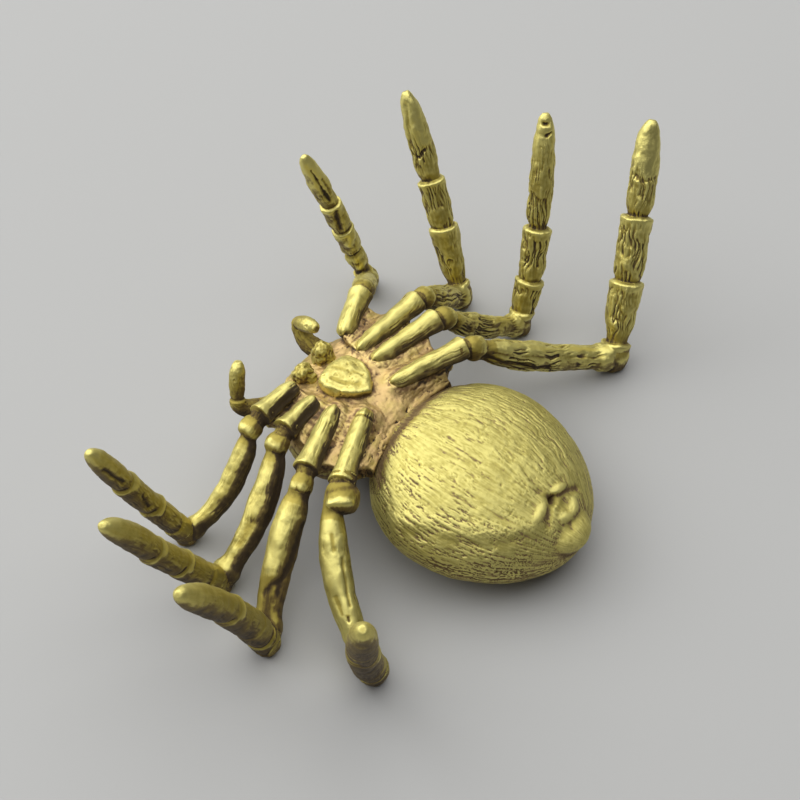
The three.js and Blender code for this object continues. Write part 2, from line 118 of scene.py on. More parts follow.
# Undersides and sides to the tail are darkened in the colour as painted shade.
# Legs: eight solid brass castings, each in one piece from the coxa in its seat of the shell to the toe.
# The collars only look like joints. Bark-like grooves hold dark patina; crests and toes are worn bright.
# Shapes are worked out in millimetres round the belly point: -Y is the head, +X the right side.
BACK_LEVEL = -9.8
STANDING_LEVEL = 10.8
SHELL_LENGTH = 13.2
SHELL_WIDTH = 16.4
HIP_SPREAD = 0.185 * SHELL_WIDTH
HIP_PITCH = 0.175 * SHELL_LENGTH
COXA_LENGTH = 7.0
COXA_GIRTH = 1.2
TROCHANTER_GIRTH = 1.1
TROCHANTER_REACH = 1.6
TROCHANTER_DROP = 0.7
FEMUR_LENGTH = 13.4
FEMUR_GIRTH = 1.2
KNEE_SWELL = 1.08
KNEE_CUP = 1.5
TIBIA_LENGTH = 5.6
METATARSUS_LENGTH = 6.0
SHIN_GIRTH = 1.35
SOCKET_DEPTH = 0.5
LIP_REACH = 0.5
STATION_STEP = 0.12
FEWEST_STATIONS = 8
BOW_POINTS = 200
NICK_POINTS = 16
LIMB_SIDES = 40
LIMB_VOXEL = 0.085

# Shares of a girth: of the coxa's or the bead's for the hip, the bead's own for half its length, the shin's
HIP_OF_COXA = 0.86
HIP_OF_BEAD = 0.84
HALF_BEAD = 0.85
CUP_OF_SHIN = 0.94
METATARSUS_OF_SHIN = 0.97
TARSUS_OF_SHIN = 0.92

# Grooves are drawn out by a stretch along some segments and start elsewhere in their pattern on each
COXA_STRETCH = 2.0
FEMUR_STRETCH = 1.9
TARSUS_STRETCH = 1.2
GROOVE_STARTS = {"femur": 20, "knee": 40, "cup": 50, "tibia": 60, "metatarsus": 80, "tarsus": 100}

# Necks and collars: where a neck ends along its segment, how full a filled one is, the patina that a deep
# one may hold, the wear that a collar may have, what deep necks add to it, and the jointing below which
# necks count as shallow
NECK_END = 0.35
FILLED_NECK = 0.985
NECK_PATINA = -4
COLLAR_WEAR = 0.5
DEEP_COLLAR_WEAR = 2
SHALLOW_NECK = 0.5

# Tones that hold for a whole segment: calm smooths its relief, seat marks what is seated in the shell, shank
# leaves out the painted shade on the side to the tail, shade moves the edge of the painted shade on the
# underside and dusk deepens that painted shade. A femur takes shade and dusk by how far its leg's painted
# shade to the tail is above the plain one.
RUN_TONES = ("calm", "seat", "shank", "shade", "dusk")
COXA_CALM = 0.6
FEMUR_CALM = 0.5
FEMUR_SHADE = 0.3
FEMUR_DUSK = 1.8
SHANK_CALM = 0.85
SHANK_SHADE = -0.08
SHANK_DUSK = 0.45
PLAIN_TAIL_SHADE = 0.4

# Relief of the legs, with depths and heights in millimetres, and the passes that soften their junctions
LEG_RELIEF = {
    "Smoothing": 3, "GrooveRound": 2.1, "GroovePitch": 0.27, "GrooveWidth": 0.12, "GrooveDepth": 0.18,
    "RidgeRound": 1.6, "RidgePitch": 0.2, "RidgeHeight": 0.24, "LumpScale": 0.55, "LumpHeight": 0.42,
    "GrainScale": 2.4, "GrainHeight": 0.04, "PitScale": 1.8, "PitDepth": 0.02, "RoofDepth": 0.22,
    "Sway": 1.5, "Spread": 0.02, "FlowRound": 4.0, "FlowPitch": 0.7, "Warp": 0.22,
}
LEG_SEED = 13.7
PLAIN_SOFTENING = 10
JOINTED_SOFTENING = 2

# Stances: angles in degrees, hook and shift in millimetres, all else in shares of the sizes above. Headings
# turn from straight out sideways to the tail and tilts rise from the floor. Sag and swing bow the femur
# down and to the tail, hook bows the tarsus up and shift starts the femur nearer the head. Bark and wear
# say how grooved and how bright a leg is, jointing how deep its necks are and the tail shade how dark the
# painted shade on its side to the tail is.
LEG_STANCES = (
    {"name": "leg_left_1", "side": -1, "out": 1.28, "back": -1.43, "coxa": 0.74, "coxa_heading": -18,
     "trochanter": 0.91, "femur": 0.86, "femur_heading": -33, "sag": 0.03, "swing": 0.0, "femur_girth": 0.92,
     "tibia": 1.55, "tibia_heading": -141, "tibia_tilt": 74, "metatarsus": 0.66, "tarsus_heading": -148,
     "tarsus_tilt": 71, "shin_girth": 0.81, "hook": 0.0, "bark": 0.15, "wear": 0.9,
     "jointing": 1.0, "tail_shade": 0.35, "shift": 0.0},
    {"name": "leg_left_2", "side": -1, "out": 1.02, "back": -0.52, "coxa": 1.14, "coxa_heading": 7,
     "trochanter": 1.0, "femur": 0.84, "femur_heading": -7, "sag": 0.03, "swing": 0.0, "femur_girth": 1.0,
     "tibia": 1.37, "tibia_heading": -63, "tibia_tilt": 61, "metatarsus": 0.84, "tarsus_heading": -69,
     "tarsus_tilt": 62, "shin_girth": 1.0, "hook": 0.2, "bark": 0.8, "wear": 0.7,
     "jointing": 1.0, "tail_shade": 0.35, "shift": 0.0},
    {"name": "leg_left_3", "side": -1, "out": 0.96, "back": 0.3, "coxa": 1.06, "coxa_heading": 14,
     "trochanter": 1.05, "femur": 0.94, "femur_heading": 16, "sag": 0.13, "swing": 0.0, "femur_girth": 0.92,
     "tibia": 0.86, "tibia_heading": -11, "tibia_tilt": 62, "metatarsus": 0.9, "tarsus_heading": -29,
     "tarsus_tilt": 64, "shin_girth": 1.0, "hook": 0.0, "bark": 1.0, "wear": 0.6,
     "jointing": 1.0, "tail_shade": 0.4, "shift": 0.0},
    {"name": "leg_left_4", "side": -1, "out": 0.56, "back": 1.56, "coxa": 1.09, "coxa_heading": 22,
     "trochanter": 1.09, "femur": 1.25, "femur_heading": 34, "sag": 0.1, "swing": 0.0, "femur_girth": 1.12,
     "tibia": 1.37, "tibia_heading": -21, "tibia_tilt": 55, "metatarsus": 1.07, "tarsus_heading": -23,
     "tarsus_tilt": 55, "shin_girth": 1.15, "hook": 0.0, "bark": 1.0, "wear": 0.9,
     "jointing": 1.0, "tail_shade": 0.3, "shift": 0.0},
    {"name": "leg_right_1", "side": 1, "out": 1.06, "back": -1.52, "coxa": 0.63, "coxa_heading": -6,
     "trochanter": 1.0, "femur": 0.87, "femur_heading": -11, "sag": 0.09, "swing": 0.16, "femur_girth": 0.88,
     "tibia": 1.46, "tibia_heading": -15, "tibia_tilt": 66, "metatarsus": 0.98, "tarsus_heading": -12,
     "tarsus_tilt": 67, "shin_girth": 0.89, "hook": 0.1, "bark": 0.2, "wear": 0.3,
     "jointing": 0.1, "tail_shade": 0.8, "shift": 0.0},
    {"name": "leg_right_2", "side": 1, "out": 1.16, "back": -0.43, "coxa": 0.59, "coxa_heading": -3,
     "trochanter": 1.0, "femur": 1.01, "femur_heading": 6, "sag": 0.07, "swing": 0.12, "femur_girth": 1.0,
     "tibia": 1.43, "tibia_heading": -15, "tibia_tilt": 60, "metatarsus": 0.86, "tarsus_heading": -8,
     "tarsus_tilt": 61, "shin_girth": 1.0, "hook": 0.6, "bark": 0.15, "wear": 0.3,
     "jointing": 0.06, "tail_shade": 0.8, "shift": 0.0},
    {"name": "leg_right_3", "side": 1, "out": 1.06, "back": 0.43, "coxa": 1.03, "coxa_heading": 15,
     "trochanter": 1.0, "femur": 1.04, "femur_heading": 19, "sag": 0.07, "swing": -0.07, "femur_girth": 1.12,
     "tibia": 0.87, "tibia_heading": -5, "tibia_tilt": 69, "metatarsus": 1.02, "tarsus_heading": 2,
     "tarsus_tilt": 59, "shin_girth": 1.11, "hook": 0.4, "bark": 0.1, "wear": 0.3,
     "jointing": 0.0, "tail_shade": 0.6, "shift": 0.0},
    {"name": "leg_right_4", "side": 1, "out": 0.63, "back": 1.52, "coxa": 1.17, "coxa_heading": 20,
     "trochanter": 1.42, "femur": 1.13, "femur_heading": 47, "sag": 0.06, "swing": -0.2, "femur_girth": 1.04,
     "tibia": 0.65, "tibia_heading": 18, "tibia_tilt": 65, "metatarsus": 1.22, "tarsus_heading": 38,
     "tarsus_tilt": 67, "shin_girth": 1.11, "hook": 0.0, "bark": 0.1, "wear": 0.3,
     "jointing": 0.0, "tail_shade": 0.4, "shift": 0.8},
)

# Profiles of the segments: place along the segment, share of its girth, bark and wear. Wear below 0 is for
# necks, where patina stays.
COXA_PROFILE = (
    (0.00, 0.30, 0.0, 0.5), (0.03, 0.54, 0.1, 0.6), (0.09, 0.72, 0.2, 0.8), (0.25, 0.84, 0.2, 1.0),
    (0.55, 0.88, 0.2, 1.0), (0.80, 0.94, 0.2, 1.0), (0.93, 1.05, 0.1, 1.0), (0.985, 1.08, 0.0, 1.0),
    (1.00, 0.98, 0.0, -1.5),
)
# The hip's wear, far below 0, darkens it as painted shadow in the gap between coxa and bead
HIP_PROFILE = ((0.0, 0.94, 0.0, -5.0), (0.5, 0.86, 0.2, -5.0), (1.0, 0.82, 0.2, -4.0))
BEAD_PROFILE = (
    (0.00, 0.55, 0.0, -3.0), (0.08, 0.82, 0.1, -2.5), (0.24, 0.96, 0.1, -2.0), (0.50, 1.00, 0.1, 0.2),
    (0.76, 0.97, 0.1, 1.2), (0.92, 0.80, 0.1, -0.5), (1.00, 0.52, 0.0, -2.5),
)
FEMUR_PROFILE = (
    (0.00, 0.70, 0.2, -3.0), (0.08, 0.74, 0.2, -2.5), (0.12, 0.88, 0.6, 0.2), (0.20, 1.02, 0.9, 0.8),
    (0.38, 1.10, 1.0, 0.8), (0.62, 1.00, 1.0, 0.7), (0.82, 0.88, 0.8, 0.6), (0.86, 0.92, 0.4, 0.7),
    (0.89, 1.06, 0.1, 0.9), (0.93, 1.10, 0.1, 1.0), (0.955, 1.06, 0.1, 0.9), (0.97, 0.94, 0.2, 0.4),
    (1.00, 0.90, 0.3, 0.3),
)
CUP_PROFILE = (
    (0.00, 0.80, 0.1, 0.2), (0.45, 0.90, 0.2, 0.4), (0.80, 1.00, 0.1, 0.9), (0.93, 1.02, 0.0, 1.0),
    (0.985, 0.96, 0.0, 1.0), (1.00, 0.70, 0.0, -1.5),
)
TIBIA_PROFILE = (
    (0.00, 0.60, 0.2, -3.5), (0.22, 0.66, 0.3, -3.0), (0.32, 0.80, 0.9, -0.2), (0.46, 0.94, 1.0, 0.5),
    (0.66, 1.00, 1.0, 0.5), (0.85, 1.04, 0.8, 0.6), (0.93, 1.08, 0.4, 1.0), (0.975, 1.10, 0.1, 1.6),
    (0.995, 1.04, 0.0, 1.6), (1.00, 0.80, 0.0, 0.8),
)
METATARSUS_PROFILE = (
    (0.00, 0.66, 0.2, -3.5), (0.075, 0.70, 0.2, -3.5), (0.11, 0.84, 0.6, -0.5), (0.17, 0.94, 1.0, 0.4),
    (0.32, 1.01, 1.0, 0.5), (0.78, 1.02, 1.0, 0.5), (0.90, 1.06, 0.5, 1.0), (0.97, 1.09, 0.1, 1.6),
    (0.992, 1.04, 0.0, 1.6), (1.00, 0.80, 0.0, 0.8),
)
TARSUS_PROFILE = (
    (0.00, 0.64, 0.2, -3.5), (0.06, 0.68, 0.3, -3.5), (0.09, 0.82, 0.8, -0.5), (0.15, 0.92, 1.0, 0.4),
    (0.40, 0.98, 0.9, 0.5), (0.60, 0.95, 0.4, 1.0), (0.78, 0.83, 0.1, 1.3), (0.90, 0.64, 0.0, 1.6),
    (0.96, 0.48, 0.0, 1.6), (1.00, 0.26, 0.0, 1.6),
)

# Tool marks on single legs: the segment, the places along it and degrees round it, from the camera's
# side, that a mark runs between, its half width, its height, negative for a groove, and its wear, negative
# where patina stays
LEG_NICKS = {
    "leg_left_1": (
        ("tarsus", (0.2, 5), (0.8, -5), 0.16, -0.25, -1.0),
        ("tarsus", (0.3, 35), (0.6, 30), 0.12, -0.15, -1.0),
        ("tibia", (0.56, -120), (0.60, 120), 0.28, -0.38, -1.5),
        ("tibia", (0.82, -10), (0.88, 20), 0.4, 0.18, 1.2),
        ("tibia", (0.35, -10), (0.40, 20), 0.4, 0.16, 1.2),
        ("metatarsus", (0.3, -20), (0.9, 10), 0.25, -0.2, -2.0),
        ("knee", (0.5, -40), (0.6, 30), 0.5, 0.14, 1.2),
    ),
    "leg_left_2": (
        ("tarsus", (0.39, -80), (0.33, -35), 0.09, -0.22, -1.5),
        ("tarsus", (0.33, -35), (0.40, 5), 0.09, -0.22, -1.5),
        ("tarsus", (0.50, 10), (0.95, 5), 0.6, 0.0, 1.0),
        ("tarsus", (0.45, -60), (0.90, -25), 0.25, -0.16, 0.0),
        ("cup", (0.3, -30), (0.8, 30), 0.5, 0.1, 2.0),
    ),
    "leg_left_3": (
        ("tarsus", (0.93, -20), (0.93, 12), 0.16, -0.32, -2.0),
        ("tarsus", (0.84, 5), (0.86, 45), 0.13, -0.28, -2.0),
        ("cup", (0.3, -30), (0.8, 30), 0.5, 0.15, 2.0),
    ),
    "leg_left_4": (
        # The facet's strong wear also brightens it as a painted highlight
        ("tarsus", (0.52, 10), (0.88, 10), 0.70, -0.16, 2.0),
        ("tarsus", (0.47, -60), (0.42, 5), 0.14, -0.09, -0.5),
        ("tarsus", (0.42, 5), (0.46, 60), 0.14, -0.09, -0.5),
        ("femur", (0.10, 15), (0.75, -5), 0.25, -0.14, 0.0),
        ("femur", (0.05, 45), (0.50, 50), 0.30, -0.20, -3.0),
        # A rubbed band with no height along the upper side, bright as a painted highlight
        ("femur", (0.12, -35), (0.90, -35), 0.45, 0.0, 1.4),
        ("cup", (0.3, -30), (0.8, 20), 0.5, 0.1, 1.5),
    ),
    "leg_right_1": (
        ("metatarsus", (0.3, 0), (0.6, 20), 0.3, -0.25, -1.0),
        ("tarsus", (0.25, 10), (0.7, -5), 0.2, -0.18, -0.5),
        ("coxa", (0.30, -40), (0.85, -40), 0.35, -0.15, -3.0),
    ),
    "leg_right_2": (
        ("femur", (0.08, -50), (0.50, -60), 0.45, -0.20, -2.5),
        ("femur", (0.55, 10), (0.70, 20), 0.4, -0.10, -0.8),
        ("coxa", (0.25, -40), (0.90, -40), 0.35, -0.15, -2.0),
    ),
    "leg_right_3": (
        ("femur", (0.25, -75), (0.70, -35), 0.55, -0.25, -3.0),
        ("femur", (0.70, 20), (0.95, 0), 0.9, -0.26, -7.0),
        ("femur", (0.60, -40), (0.72, 40), 0.36, -0.10, -1.5),
        ("femur", (0.25, 25), (0.55, 30), 0.6, 0.1, 0.8),
    ),
    "leg_right_4": (
        ("femur", (0.34, -32), (0.62, -24), 0.16, -0.12, -0.5),
        ("femur", (0.12, 12), (0.92, 12), 0.7, 0.0, 1.2),
        ("femur", (0.20, 5), (0.28, 0), 0.3, -0.08, -2.0),
        ("femur", (0.55, 25), (0.65, 18), 0.25, -0.06, -2.0),
        ("femur", (0.68, 0), (0.70, 3), 0.12, -0.16, -2.0),
        ("coxa", (0.14, -80), (0.14, 80), 0.10, -0.16, -0.6),
        ("bead", (0.15, -70), (0.35, 70), 0.45, -0.12, -3.5),
        ("bead", (0.72, -40), (0.78, 50), 0.35, 0.12, 1.2),
        ("tarsus", (0.30, -60), (0.30, 60), 0.13, -0.15, -1.5),
    ),
}
# On legs with shallow necks the heel's collar shows as a bright lip on its upper side and a dark nick
# below, and where the necks aren't quite filled, so does the ankle's
HEEL_NICKS = (
    ("metatarsus", (0.90, 30), (0.88, 110), 0.42, 0.10, 0.6),
    ("tarsus", (0.09, -10), (0.11, -110), 0.24, -0.22, -2.0),
)
ANKLE_NICKS = (
    ("tibia", (0.93, 10), (0.91, 100), 0.28, 0.14, 1.0),
    ("metatarsus", (0.12, 0), (0.14, -110), 0.24, -0.20, -2.0),
)

# Brass tones, linear
POLISHED = (0.72, 0.645, 0.22, 1)
OLIVE = (0.42, 0.345, 0.085, 1)
BROWN = (0.15, 0.095, 0.036, 1)
UMBER = (0.050, 0.032, 0.015, 1)
# Brass surface: its roughness, the scales of its mottle, specks and grain, and the levels between which
# polish, stain and deep patina come in, the stain and deep patina also carrying painted shade
CAST_ROUGHNESS = 0.56
MOTTLE_SCALE = 0.7 / MM
SPECK_SCALE = 4.5 / MM
GRAIN_SCALE = 5 / MM
GRAIN_HEIGHT = 0.05 * MM
PROUD_LEVELS = (0.0, 1.0)
STAIN_AND_SHADE_LEVELS = (0.2, 0.95)
DEEP_LEVELS = (0.75, 1.5)


def heading_vector(side, heading, tilt):
    """A direction by its heading, turned from straight out sideways to the tail, and its tilt."""
    flat = math.cos(math.radians(tilt))
    return np.array((
        side * flat * math.cos(math.radians(heading)),
        flat * math.sin(math.radians(heading)),
        math.sin(math.radians(tilt)),
    ))


def unit(vectors):
    """Vectors of length 1 along the given ones."""
    return vectors / np.linalg.norm(vectors, axis=-1, keepdims=True)


def leg_joints(stance):
    """Joints of one leg: its knee lies on the back level and its toe reaches the standing level."""
    side = stance["side"]
    hip = np.array((side * stance["out"] * HIP_SPREAD, stance["back"] * HIP_PITCH, 0.0))
    lip = hip + stance["coxa"] * COXA_LENGTH * heading_vector(side, stance["coxa_heading"], 0)
    midway = (stance["coxa_heading"] + stance["femur_heading"]) / 2
    bead = lip + TROCHANTER_REACH * heading_vector(side, midway, 0)
    bead[2] -= TROCHANTER_DROP
    femur = stance["femur"] * FEMUR_LENGTH
    knee_level = BACK_LEVEL + stance["femur_girth"] * FEMUR_GIRTH * KNEE_SWELL
    femur_tilt = math.degrees(math.asin((knee_level - bead[2]) / femur))
    knee = bead + femur * heading_vector(side, stance["femur_heading"], femur_tilt)
    shin = heading_vector(side, stance["tibia_heading"], stance["tibia_tilt"])
    ankle = knee + stance["tibia"] * TIBIA_LENGTH * shin
    heel = ankle + stance["metatarsus"] * METATARSUS_LENGTH * heading_vector(
        side,
        (stance["tibia_heading"] + stance["tarsus_heading"]) / 2,
        (stance["tibia_tilt"] + stance["tarsus_tilt"]) / 2,
    )
    foot = heading_vector(side, stance["tarsus_heading"], stance["tarsus_tilt"])
    toe = heel + foot * (STANDING_LEVEL - heel[2]) / foot[2]
    return {"hip": hip, "lip": lip, "bead": bead, "knee": knee, "shin": shin, "ankle": ankle, "heel": heel,
            "foot": foot, "toe": toe}


def bowed(*corners):
    """Close-set points of a straight line, or of a bow with its middle corner as the pull."""
    share = np.linspace(0, 1, BOW_POINTS)[:, None]
    if len(corners) == 2:
        return corners[0] + share * (corners[1] - corners[0])
    return (1 - share) ** 2 * corners[0] + 2 * share * (1 - share) * corners[1] + share ** 2 * corners[2]


def read_off(places, stops, rows):
    """Rows of numbers read off at places between the stops that given rows belong to."""
    return np.stack([np.interp(places, stops, column) for column in rows.T], axis=1)


def limb_run(way, profile, girth, bark=1.0, wear=1.0, jointing=1.0, stretch=1.0, start=0.0, **tones):
    """Stations at even steps along a way, each with its place, girth, marks and tones.
    Jointing below 1 fills the neck that a segment starts with and lowers its collar."""
    reach = np.concatenate(([0], np.cumsum(np.linalg.norm(np.diff(way, axis=0), axis=1))))
    count = max(FEWEST_STATIONS, round(reach[-1] / STATION_STEP))
    places = np.linspace(0, 1, count)
    lengths = places * reach[-1]
    stops, shares, barks, wears = np.array(profile).T
    share = np.interp(places, stops, shares)
    filled = share + np.clip(FILLED_NECK - share, 0, None) * (1 - jointing)
    lowered = share - np.clip(share - 1, 0, None) * (1 - jointing)
    marks = np.interp(places, stops, wears)
    marks = np.where(places < NECK_END, np.maximum(marks, NECK_PATINA * jointing), marks)
    marks = np.where(share > 1, np.minimum(marks, COLLAR_WEAR + DEEP_COLLAR_WEAR * jointing), marks)
    run = {
        "spot": read_off(lengths, reach, way),
        "girth": girth * np.where(places < NECK_END, filled, lowered),
        "bark": bark * np.interp(places, stops, barks),
        "worn": wear * marks,
        "along": lengths / stretch + start,
    }
    for tone in RUN_TONES:
        run[tone] = np.full(count, float(tones.get(tone, 0)))
    return run


def leg_runs(stance):
    """The segments of one leg, by name, from the coxa to the tarsus."""
    joints = leg_joints(stance)
    hip, lip, bead, knee = (joints[name] for name in ("hip", "lip", "bead", "knee"))
    ankle, heel, toe, foot = (joints[name] for name in ("ankle", "heel", "toe", "foot"))
    bead_girth = stance["trochanter"] * TROCHANTER_GIRTH
    femur_girth = stance["femur_girth"] * FEMUR_GIRTH
    shin_girth = stance["shin_girth"] * SHIN_GIRTH
    plain = 1 - stance["jointing"]
    gloom = stance["tail_shade"] - PLAIN_TAIL_SHADE
    shank = {"bark": stance["bark"], "wear": stance["wear"], "jointing": stance["jointing"], "shank": 1,
             "calm": SHANK_CALM * plain, "shade": SHANK_SHADE, "dusk": SHANK_DUSK * plain}
    half_bead = unit(bead - lip) * bead_girth * HALF_BEAD
    coxa_way = unit(lip - hip)
    aside = stance["shift"] * heading_vector(stance["side"], stance["femur_heading"] - 90, 0)
    tailward = heading_vector(stance["side"], stance["femur_heading"] + 90, 0)
    pull = (bead + knee) / 2 + stance["swing"] * FEMUR_LENGTH * tailward
    pull[2] -= stance["sag"] * FEMUR_LENGTH
    upright = np.array((0.0, 0.0, 1.0))
    half_knee = femur_girth * upright
    instep = unit(upright - upright.dot(foot) * foot)
    arch = (heel + toe) / 2 + stance["hook"] * instep
    ways = {
        "coxa": bowed(hip, lip + LIP_REACH * coxa_way),
        "hip": bowed(lip - SOCKET_DEPTH * coxa_way, bead),
        "bead": bowed(bead - half_bead, bead + half_bead),
        "femur": bowed(bead + aside, pull, knee),
        "knee": bowed(knee - half_knee, knee + half_knee),
        "cup": bowed(knee, knee + KNEE_CUP * joints["shin"]),
        "tibia": bowed(knee, ankle),
        "metatarsus": bowed(ankle - SOCKET_DEPTH * unit(heel - ankle), heel),
        "tarsus": bowed(heel - SOCKET_DEPTH * foot, arch, toe),
    }
    segments = {
        "coxa": (COXA_PROFILE, COXA_GIRTH, {"stretch": COXA_STRETCH, "calm": COXA_CALM, "seat": 1}),
        "hip": (HIP_PROFILE, max(COXA_GIRTH * HIP_OF_COXA, bead_girth * HIP_OF_BEAD), {}),
        "bead": (BEAD_PROFILE, bead_girth, {}),
        "femur": (FEMUR_PROFILE, femur_girth, {
            "bark": stance["bark"], "stretch": FEMUR_STRETCH, "calm": FEMUR_CALM * plain,
            "shade": FEMUR_SHADE * gloom, "dusk": FEMUR_DUSK * max(0, gloom),
        }),
        "knee": (BEAD_PROFILE, femur_girth * KNEE_SWELL, {}),
        "cup": (CUP_PROFILE, shin_girth * CUP_OF_SHIN, {}),
        "tibia": (TIBIA_PROFILE, shin_girth, shank),
        "metatarsus": (METATARSUS_PROFILE, shin_girth * METATARSUS_OF_SHIN, shank),
        "tarsus": (TARSUS_PROFILE, shin_girth * TARSUS_OF_SHIN, {"stretch": TARSUS_STRETCH, **shank}),
    }
    return {
        name: limb_run(ways[name], profile, girth, start=GROOVE_STARTS.get(name, 0), **tones)
        for name, (profile, girth, tones) in segments.items()
    }


def surface_line(run, start, end):
    """Points on a limb between two pairs of place along it and degrees round it from the camera's side."""
    places = np.linspace(start[0], end[0], NICK_POINTS) * (len(run["spot"]) - 1)
    turns = np.radians(np.linspace(start[1], end[1], NICK_POINTS))[:, None]
    stations = np.arange(len(run["spot"]))
    centre = read_off(places, stations, run["spot"])
    tangent = unit(read_off(places, stations, np.gradient(run["spot"], axis=0)))
    toward = unit(np.array(view_back) - tangent * (tangent @ np.array(view_back))[:, None])
    sideways = np.cross(tangent, toward)
    girth = np.interp(places, stations, run["girth"])[:, None]
    return centre + girth * (np.cos(turns) * toward + np.sin(turns) * sideways)


class Wire:
    """A value in a node tree. Arithmetic on wires adds Math nodes to the tree."""

    def __init__(self, socket):
        self.socket = socket
        self.tree = socket.id_data

    def math(self, operation, *others):
        return add_node(self.tree, "ShaderNodeMath", (self, *others), operation=operation)

    def __add__(self, other):
        return self.math("ADD", other)

    def __sub__(self, other):
        return self.math("SUBTRACT", other)

    def __mul__(self, other):
        return self.math("MULTIPLY", other)

    def ramp(self, low, high):
        """From 0 to 1, smoothly, between two levels."""
        inputs = {"Value": self, "From Min": low, "From Max": high}
        return add_node(self.tree, "ShaderNodeMapRange", inputs, interpolation_type="SMOOTHSTEP")

    def rest(self):
        """What is left of 1."""
        return self * -1.0 + 1.0

    def fall(self, low, high):
        """From 1 to 0, smoothly, between two levels."""
        return self.ramp(low, high).rest()

    def scaled(self, factor):
        return add_node(self.tree, "ShaderNodeVectorMath", {0: self, "Scale": factor}, operation="SCALE")

    def vector(self, operation, other, output=0):
        return add_node(self.tree, "ShaderNodeVectorMath", (self, other), output, operation=operation)

    def part(self, axis):
        return add_node(self.tree, "ShaderNodeSeparateXYZ", (self,), axis)


def add_node(tree, kind, inputs=(), output=0, **settings):
    """Adds a node with its settings, plugs wires or values into its inputs and returns one output."""
    node = tree.nodes.new(kind)
    for setting, value in settings.items():
        setattr(node, setting, value)
    pairs = inputs.items() if isinstance(inputs, dict) else enumerate(inputs)
    for key, value in pairs:
        if isinstance(value, Wire):
            tree.links.new(value.socket, node.inputs[key])
        else:
            node.inputs[key].default_value = value
    return Wire(node.outputs[output])


def combined(tree, x, y, z=0.0):
    return add_node(tree, "ShaderNodeCombineXYZ", (x, y, z))


def new_tree(name, **sizes):
    """A geometry tree with a finish and its named sizes as inputs, and the wires that they start."""
    tree = bpy.data.node_groups.new(name, "GeometryNodeTree")
    tree.interface.new_socket("Geometry", in_out="OUTPUT", socket_type="NodeSocketGeometry")
    for label, kind in {"Geometry": "Geometry", "Finish": "Material", **sizes}.items():
        tree.interface.new_socket(label, in_out="INPUT", socket_type="NodeSocket" + kind)
    entry = tree.nodes.new("NodeGroupInput")
    return tree, {socket.name: Wire(socket) for socket in entry.outputs if socket.name}


def close_tree(tree, geometry, finish):
    """Ends a tree in Realize Instances and Set Material."""
    geometry = add_node(tree, "GeometryNodeRealizeInstances", {"Geometry": geometry})
    geometry = add_node(tree, "GeometryNodeSetMaterial", {"Geometry": geometry, "Material": finish})
    tree.links.new(geometry.socket, tree.nodes.new("NodeGroupOutput").inputs[0])


def stored(geometry, name, value, kind="FLOAT"):
    """A geometry that keeps a value at its points under a name."""
    inputs = {"Geometry": geometry, "Name": name, "Value": value}
    return add_node(geometry.tree, "GeometryNodeStoreNamedAttribute", inputs, data_type=kind)


def named(tree, name, kind="FLOAT"):
    """The value that a geometry keeps under a name."""
    return add_node(tree, "GeometryNodeInputNamedAttribute", {"Name": name}, data_type=kind)


def shape_of(tree, thing):
    """The geometry of another object."""
    return add_node(tree, "GeometryNodeObjectInfo", {"Object": thing}, "Geometry")


def moved(geometry, **places):
    """A geometry with its points put at a position, shifted by an offset or both."""
    return add_node(geometry.tree, "GeometryNodeSetPosition", {"Geometry": geometry, **places})


def noise(place, scale, detail=2.0, roughness=0.5):
    """Noise from 0 to 1, with about one feature in each unit of the scaled place."""
    inputs = {"Vector": place, "Scale": scale, "Detail": detail, "Roughness": roughness}
    return add_node(place.tree, "ShaderNodeTexNoise", inputs)


def holder(name, mesh):
    """An object in the scene that holds a mesh."""
    thing = bpy.data.objects.new(name, mesh)
    bpy.context.scene.collection.objects.link(thing)
    return thing


def grow(thing, tree, **values):
    """Gives an object a node modifier, with the tree's inputs set by their identifiers."""
    modifier = thing.modifiers.new(tree.name, "NODES")
    modifier.node_group = tree
    for item in tree.interface.items_tree:
        if item.in_out == "INPUT" and item.name in values:
            modifier[item.identifier] = values[item.name]
    return thing


def baked(thing):
    """The evaluated object as a plain mesh; the object itself is removed."""
    graph = bpy.context.evaluated_depsgraph_get()
    mesh = bpy.data.meshes.new_from_object(thing.evaluated_get(graph))
    bpy.data.objects.remove(thing)
    return mesh


def label_points(mesh, label, values):
    """Keeps one number for each point of a mesh under a label."""
    mesh.attributes.new(label, "FLOAT", "POINT").data.foreach_set("value", values)


def mesh_spots(mesh):
    """The places of a mesh's points, one in each row."""
    spots = np.empty(len(mesh.vertices) * 3)
    mesh.vertices.foreach_get("co", spots)
    return spots.reshape(-1, 3)


# Sweep of a limb: each run of stations becomes a closed tube with its marks on it
sweep_tree, sweep = new_tree("limb_sweep", Sides="Int")
centre_line = add_node(sweep_tree, "GeometryNodeMeshToCurve", {"Mesh": sweep["Geometry"]})
centre_line = add_node(sweep_tree, "GeometryNodeSetCurveNormal", {"Curve": centre_line}, mode="Z_UP")
ring = add_node(
    sweep_tree, "GeometryNodeCurvePrimitiveCircle", {"Resolution": sweep["Sides"], "Radius": 1.0})
ring = stored(ring, "round", add_node(sweep_tree, "GeometryNodeInputPosition"), "FLOAT_VECTOR")
tube = add_node(sweep_tree, "GeometryNodeCurveToMesh", {
    "Curve": centre_line, "Profile Curve": ring, "Scale": named(sweep_tree, "girth"), "Fill Caps": True,
})
close_tree(sweep_tree, tube, sweep["Finish"])

